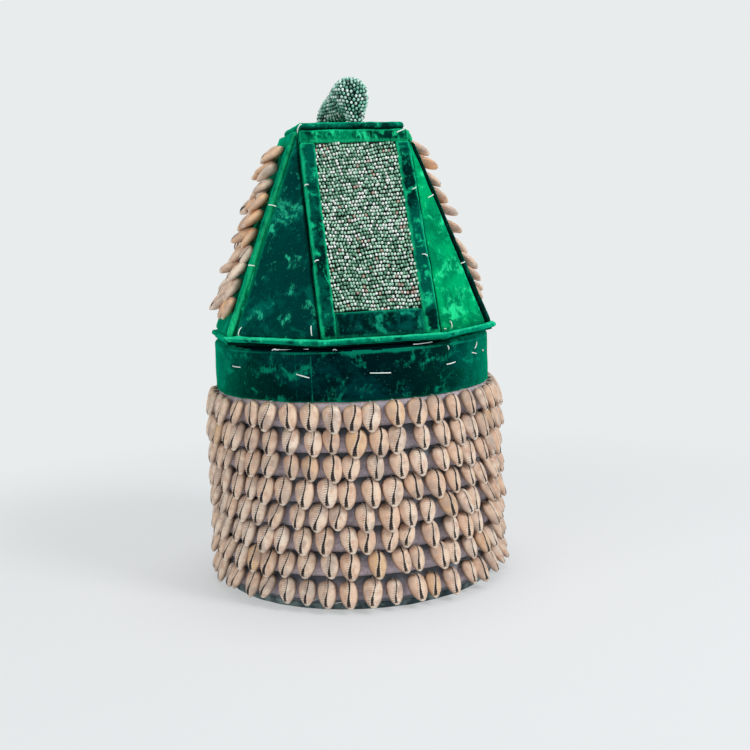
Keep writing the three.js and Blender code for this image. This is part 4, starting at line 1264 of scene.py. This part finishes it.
taken = np.empty((0, 3))
along = 0.0
while along < travelled[-1]:
    centre, sideways, upward, radius = loop_ring(along)
    for i in range(LOOP_LINES):
        angle = 2 * math.pi * (i + chance.random() * 0.3) / LOOP_LINES
        place = centre + (sideways * math.cos(angle) + upward * math.sin(angle)) * (radius - LOOP_BEAD / 2)
        if not len(taken) or np.min(np.sum((taken - place) ** 2, axis=1)) > (LOOP_BEAD * BEAD_SPACING) ** 2:
            taken = np.vstack([taken, place])
    along += LOOP_BEAD * BEAD_STRIDE
for _ in range(LOOP_SETTLING):
    apart = taken[:, None] - taken[None]
    distance = np.linalg.norm(apart, axis=2) + np.eye(len(taken))
    push = np.clip(LOOP_BEAD * BEAD_REACH / distance - 1, 0, 1) * (1 - np.eye(len(taken)))
    taken, facing = settle(taken + (apart * push[..., None]).sum(axis=1) * BEAD_PUSH)
loop_beads = []
for place, outward in zip(taken, facing):
    if place[2] < handle_low + LOOP_BEAD * 0.2:
        continue
    around = np.cross(outward, BEAD_LINE)
    around /= np.linalg.norm(around)
    seated = facing_along(around, np.cross(outward, around), outward)
    size = LOOP_BEAD * chance.uniform(0.87, 0.96)
    loop_beads.append((Matrix.Translation(place) @ seated @ Matrix.Scale(size, 4), chance.random()))
teal_glass = bead_finish("teal_beads", (44, 122, 102), (122, 206, 180), (232, 255, 247),
                         (60, 90, 80))
loop_cover = gathered(bead_corners, bead_faces, loop_beads)
fit(loop_cover, "loop_beads", "lid", "teal_beads", [teal_glass], "loop_handle")

# Stitches.
# The velvet is held with long stitches of white cotton thread across its seams and tacked to the band.
# Loose ends and knots of the thread hang in the gap under the lid, and each shell is sewn on with a loop.
STITCH_THICKNESS = 0.0009
TACK_SHARES = (0, 0.12, 0.5, 0.88, 1)
TACK_LIFTS = (-0.001, 0.0007, 0.0007, 0.0007, -0.001)
SEAM_SHARES = (0, 0.1, 0.5, 0.9, 1)
SEAM_LIFTS = (-0.0014, 0.0004, 0.0008, 0.0004, -0.0014)
BAND_TACKS = [
    ((-68.4, 0.1943), (-61.8, 0.1941)), ((-34.7, 0.1913), (-28.1, 0.1877)), ((-6.5, 0.1906), (2.5, 0.1896)),
    ((26.7, 0.1914), (32.2, 0.1925)), ((43.7, 0.1971), (47.8, 0.1952)), ((48.2, 0.2053), (45.9, 0.1996)),
    ((54.6, 0.1971), (55.4, 0.1955)), ((27.6, 0.2066), (28.1, 0.2030)),
]
LID_STITCHES = [
    ((-0.0466, -0.0380, 0.3812), (-0.0440, -0.0410, 0.3880)),
    ((0.0363, -0.0452, 0.3797), (0.0432, -0.0430, 0.3820)),
    ((0.0432, -0.0430, 0.3820), (0.0440, -0.0400, 0.3860)),
    ((-0.0732, -0.0360, 0.3238), (-0.0687, -0.0424, 0.3228)),
    ((-0.0930, -0.0432, 0.2755), (-0.0889, -0.0440, 0.2752)),
    ((-0.1026, -0.0530, 0.2265), (-0.1054, -0.0536, 0.2190)),
    ((-0.0540, -0.1010, 0.2285), (-0.0544, -0.1040, 0.2205)),
    ((-0.0468, -0.0610, 0.3373), (-0.0440, -0.0625, 0.3384)),
    ((-0.0466, -0.0885, 0.2775), (-0.0435, -0.0888, 0.2787)),
    ((0.0426, -0.0656, 0.3324), (0.0450, -0.0653, 0.3332)),
    ((0.0422, -0.0882, 0.2798), (0.0460, -0.0888, 0.2780)),
    ((0.0597, -0.0508, 0.3252), (0.0670, -0.0424, 0.3279)),
    ((0.0881, -0.0479, 0.2693), (0.0932, -0.0420, 0.2704)),
    ((0.0614, -0.0948, 0.2254), (0.0618, -0.0974, 0.2190)),
    ((0.0530, -0.1052, 0.2200), (0.0548, -0.1038, 0.2194)),
]
LOOSE_ENDS = [
    ((-43.6, 0.1178, 0.2098), (-36.0, 0.1179, 0.2096), (-29.0, 0.1178, 0.2104)),
    ((-44.6, 0.1180, 0.2092), (-43.4, 0.1184, 0.2110), (-42.4, 0.1182, 0.2090), (-43.6, 0.1180, 0.2106)),
    ((-43.0, 0.1182, 0.2106), (-42.0, 0.1186, 0.2092), (-41.2, 0.1182, 0.2104)),
    ((-19.6, 0.1180, 0.2092), (-19.0, 0.1186, 0.2108), (-18.2, 0.1182, 0.2092)),
    ((11.8, 0.1176, 0.2104), (16.0, 0.1178, 0.2100), (20.4, 0.1176, 0.2108)),
    ((-32.8, 0.1192, 0.0057), (-31.0, 0.1196, 0.0086), (-29.3, 0.1194, 0.0102)),
    ((-27.0, 0.1194, 0.0032), (-23.0, 0.1198, 0.0068), (-19.9, 0.1196, 0.0073)),
    ((16.6, 0.1194, 0.0070), (17.2, 0.1200, 0.0040), (17.9, 0.1200, 0.0015)),
]
LOOP_MARKS = (
    (0.0, 0.0008, 0.0004), (0.0001, 0.0010, 0.0030), (0.0003, 0.0002, 0.0052), (0.0009, -0.0024, 0.0064),
)
KNOT_THREAD = 0.0006


def threads(name, runs, thickness, smoothness):
    """Stitches as one piece: each run of points becomes a round thread."""
    curve = bpy.data.curves.new(name, "CURVE")
    curve.dimensions = "3D"
    curve.bevel_depth = thickness / 2
    curve.bevel_resolution = smoothness - 2
    curve.use_fill_caps = True
    curve.resolution_u = smoothness
    for run in runs:
        spline = curve.splines.new("NURBS")
        spline.points.add(len(run) - 1)
        spline.use_endpoint_u = True
        spline.order_u = 3
        for point, place in zip(spline.points, run):
            point.co = (*place, 1.0)
    piece = bpy.data.objects.new(name, curve)
    bpy.context.scene.collection.objects.link(piece)
    use_only(piece)
    bpy.ops.object.convert(target="MESH")
    bpy.ops.object.shade_smooth()
    return bpy.context.object


def round_container(degrees, reach, height):
    """A place by its angle from the front towards the right, its distance from the axis and its height."""
    turn = math.radians(degrees)
    return Vector((reach * math.sin(turn), -reach * math.cos(turn), height))


tacks = [[round_container(*spot) for spot in run] for run in LOOSE_ENDS]
for (start, low), (end, high) in BAND_TACKS:
    tacks.append([
        round_container(start + (end - start) * share, band_outer + lift, low + (high - low) * share)
        for share, lift in zip(TACK_SHARES, TACK_LIFTS)
    ])
fit(threads("band_tacks", tacks, STITCH_THICKNESS, 3), "band_tacks", "container", "cotton", [thread])

seams = []
for start, end in LID_STITCHES:
    start, end = Vector(start), Vector(end)
    middle = (start + end) / 2
    outward = Vector((middle.x, middle.y, 0.03)).normalized()
    seams.append([start.lerp(end, share) + outward * lift for share, lift in zip(SEAM_SHARES, SEAM_LIFTS)])
fit(threads("seam_stitches", seams, STITCH_THICKNESS, 3), "seam_stitches", "lid", "cotton", [thread])

loops = [[shell @ Vector(mark) for mark in LOOP_MARKS] for shell in sewn_shells]
fit(threads("shell_threads", loops, KNOT_THREAD, 2), "shell_threads", "container", "cotton", [thread])

# Floor, backdrop and light.
# A pale studio sweep: the floor takes the object's soft shadow and fades into the backdrop away from it.
# The key lamp stands high at the front right, with a broad fill from the left and another from above.
BACKDROP_TONE = shown(233, 236, 236)
FLOOR_TONE = shown(232, 233, 237)
FLOOR_SIZE = 12
FLOOR_GLOW = 0.5
FLOOR_FADE = (0.3, 0.75)
DAYLIGHT = 0.5
LAMP_AIM = (0, 0, 0.2)

start_fresh()
bpy.ops.mesh.primitive_plane_add(size=FLOOR_SIZE, location=(0, 0, 0))
floor = bpy.context.object
floor.name = "studio_floor"
sweep = Finish("studio_floor", {"Specular IOR Level": 0.0, "Roughness": 1.0, "Base Color": FLOOR_TONE})
floor.data.materials.append(sweep.material)
away = sweep.node("ShaderNodeVectorMath", {"operation": "LENGTH"}, {0: sweep.place()}, "Value")
share = sweep.between(away, *FLOOR_FADE) * (1 - FLOOR_GLOW) + FLOOR_GLOW
lit = Value(sweep, sweep.shader.outputs["BSDF"])
glow = sweep.node("ShaderNodeEmission", {}, {"Color": BACKDROP_TONE, "Strength": 1.0})
blend = sweep.node("ShaderNodeMixShader", {}, {0: share * sweep.looked_at(), 1: lit, 2: glow})
sweep.feed(sweep.tree.nodes["Material Output"].inputs["Surface"], blend)


def lamp(name, place, size, power):
    """A round lamp that is turned to the middle of the container."""
    light = bpy.data.lights.new(name, "AREA")
    light.shape = "DISK"
    light.size = size
    light.energy = power
    holder = bpy.data.objects.new(name, light)
    holder.location = place
    holder.rotation_euler = (Vector(LAMP_AIM) - Vector(place)).to_track_quat("-Z", "Y").to_euler()
    bpy.context.scene.collection.objects.link(holder)


lamp("key_lamp", (1.1, -1.3, 1.5), 0.7, 20)
lamp("fill_lamp", (-1.6, -1.0, 0.9), 1.4, 7)
lamp("top_lamp", (0.2, 0.2, 2.2), 1.2, 13)
world = bpy.data.worlds.new("studio")
world.use_nodes = True
bpy.context.scene.world = world
sky = Nodes(world.node_tree)
daylight = sky.node("ShaderNodeBackground", {}, {"Color": BACKDROP_TONE, "Strength": DAYLIGHT})
backdrop = sky.node("ShaderNodeBackground", {}, {"Color": BACKDROP_TONE, "Strength": 1.0})
seen = sky.node("ShaderNodeMixShader", {}, {0: sky.looked_at(), 1: daylight, 2: backdrop})
sky.feed(sky.tree.nodes["World Output"].inputs["Surface"], seen)
bpy.context.scene.view_settings.view_transform = "Standard"
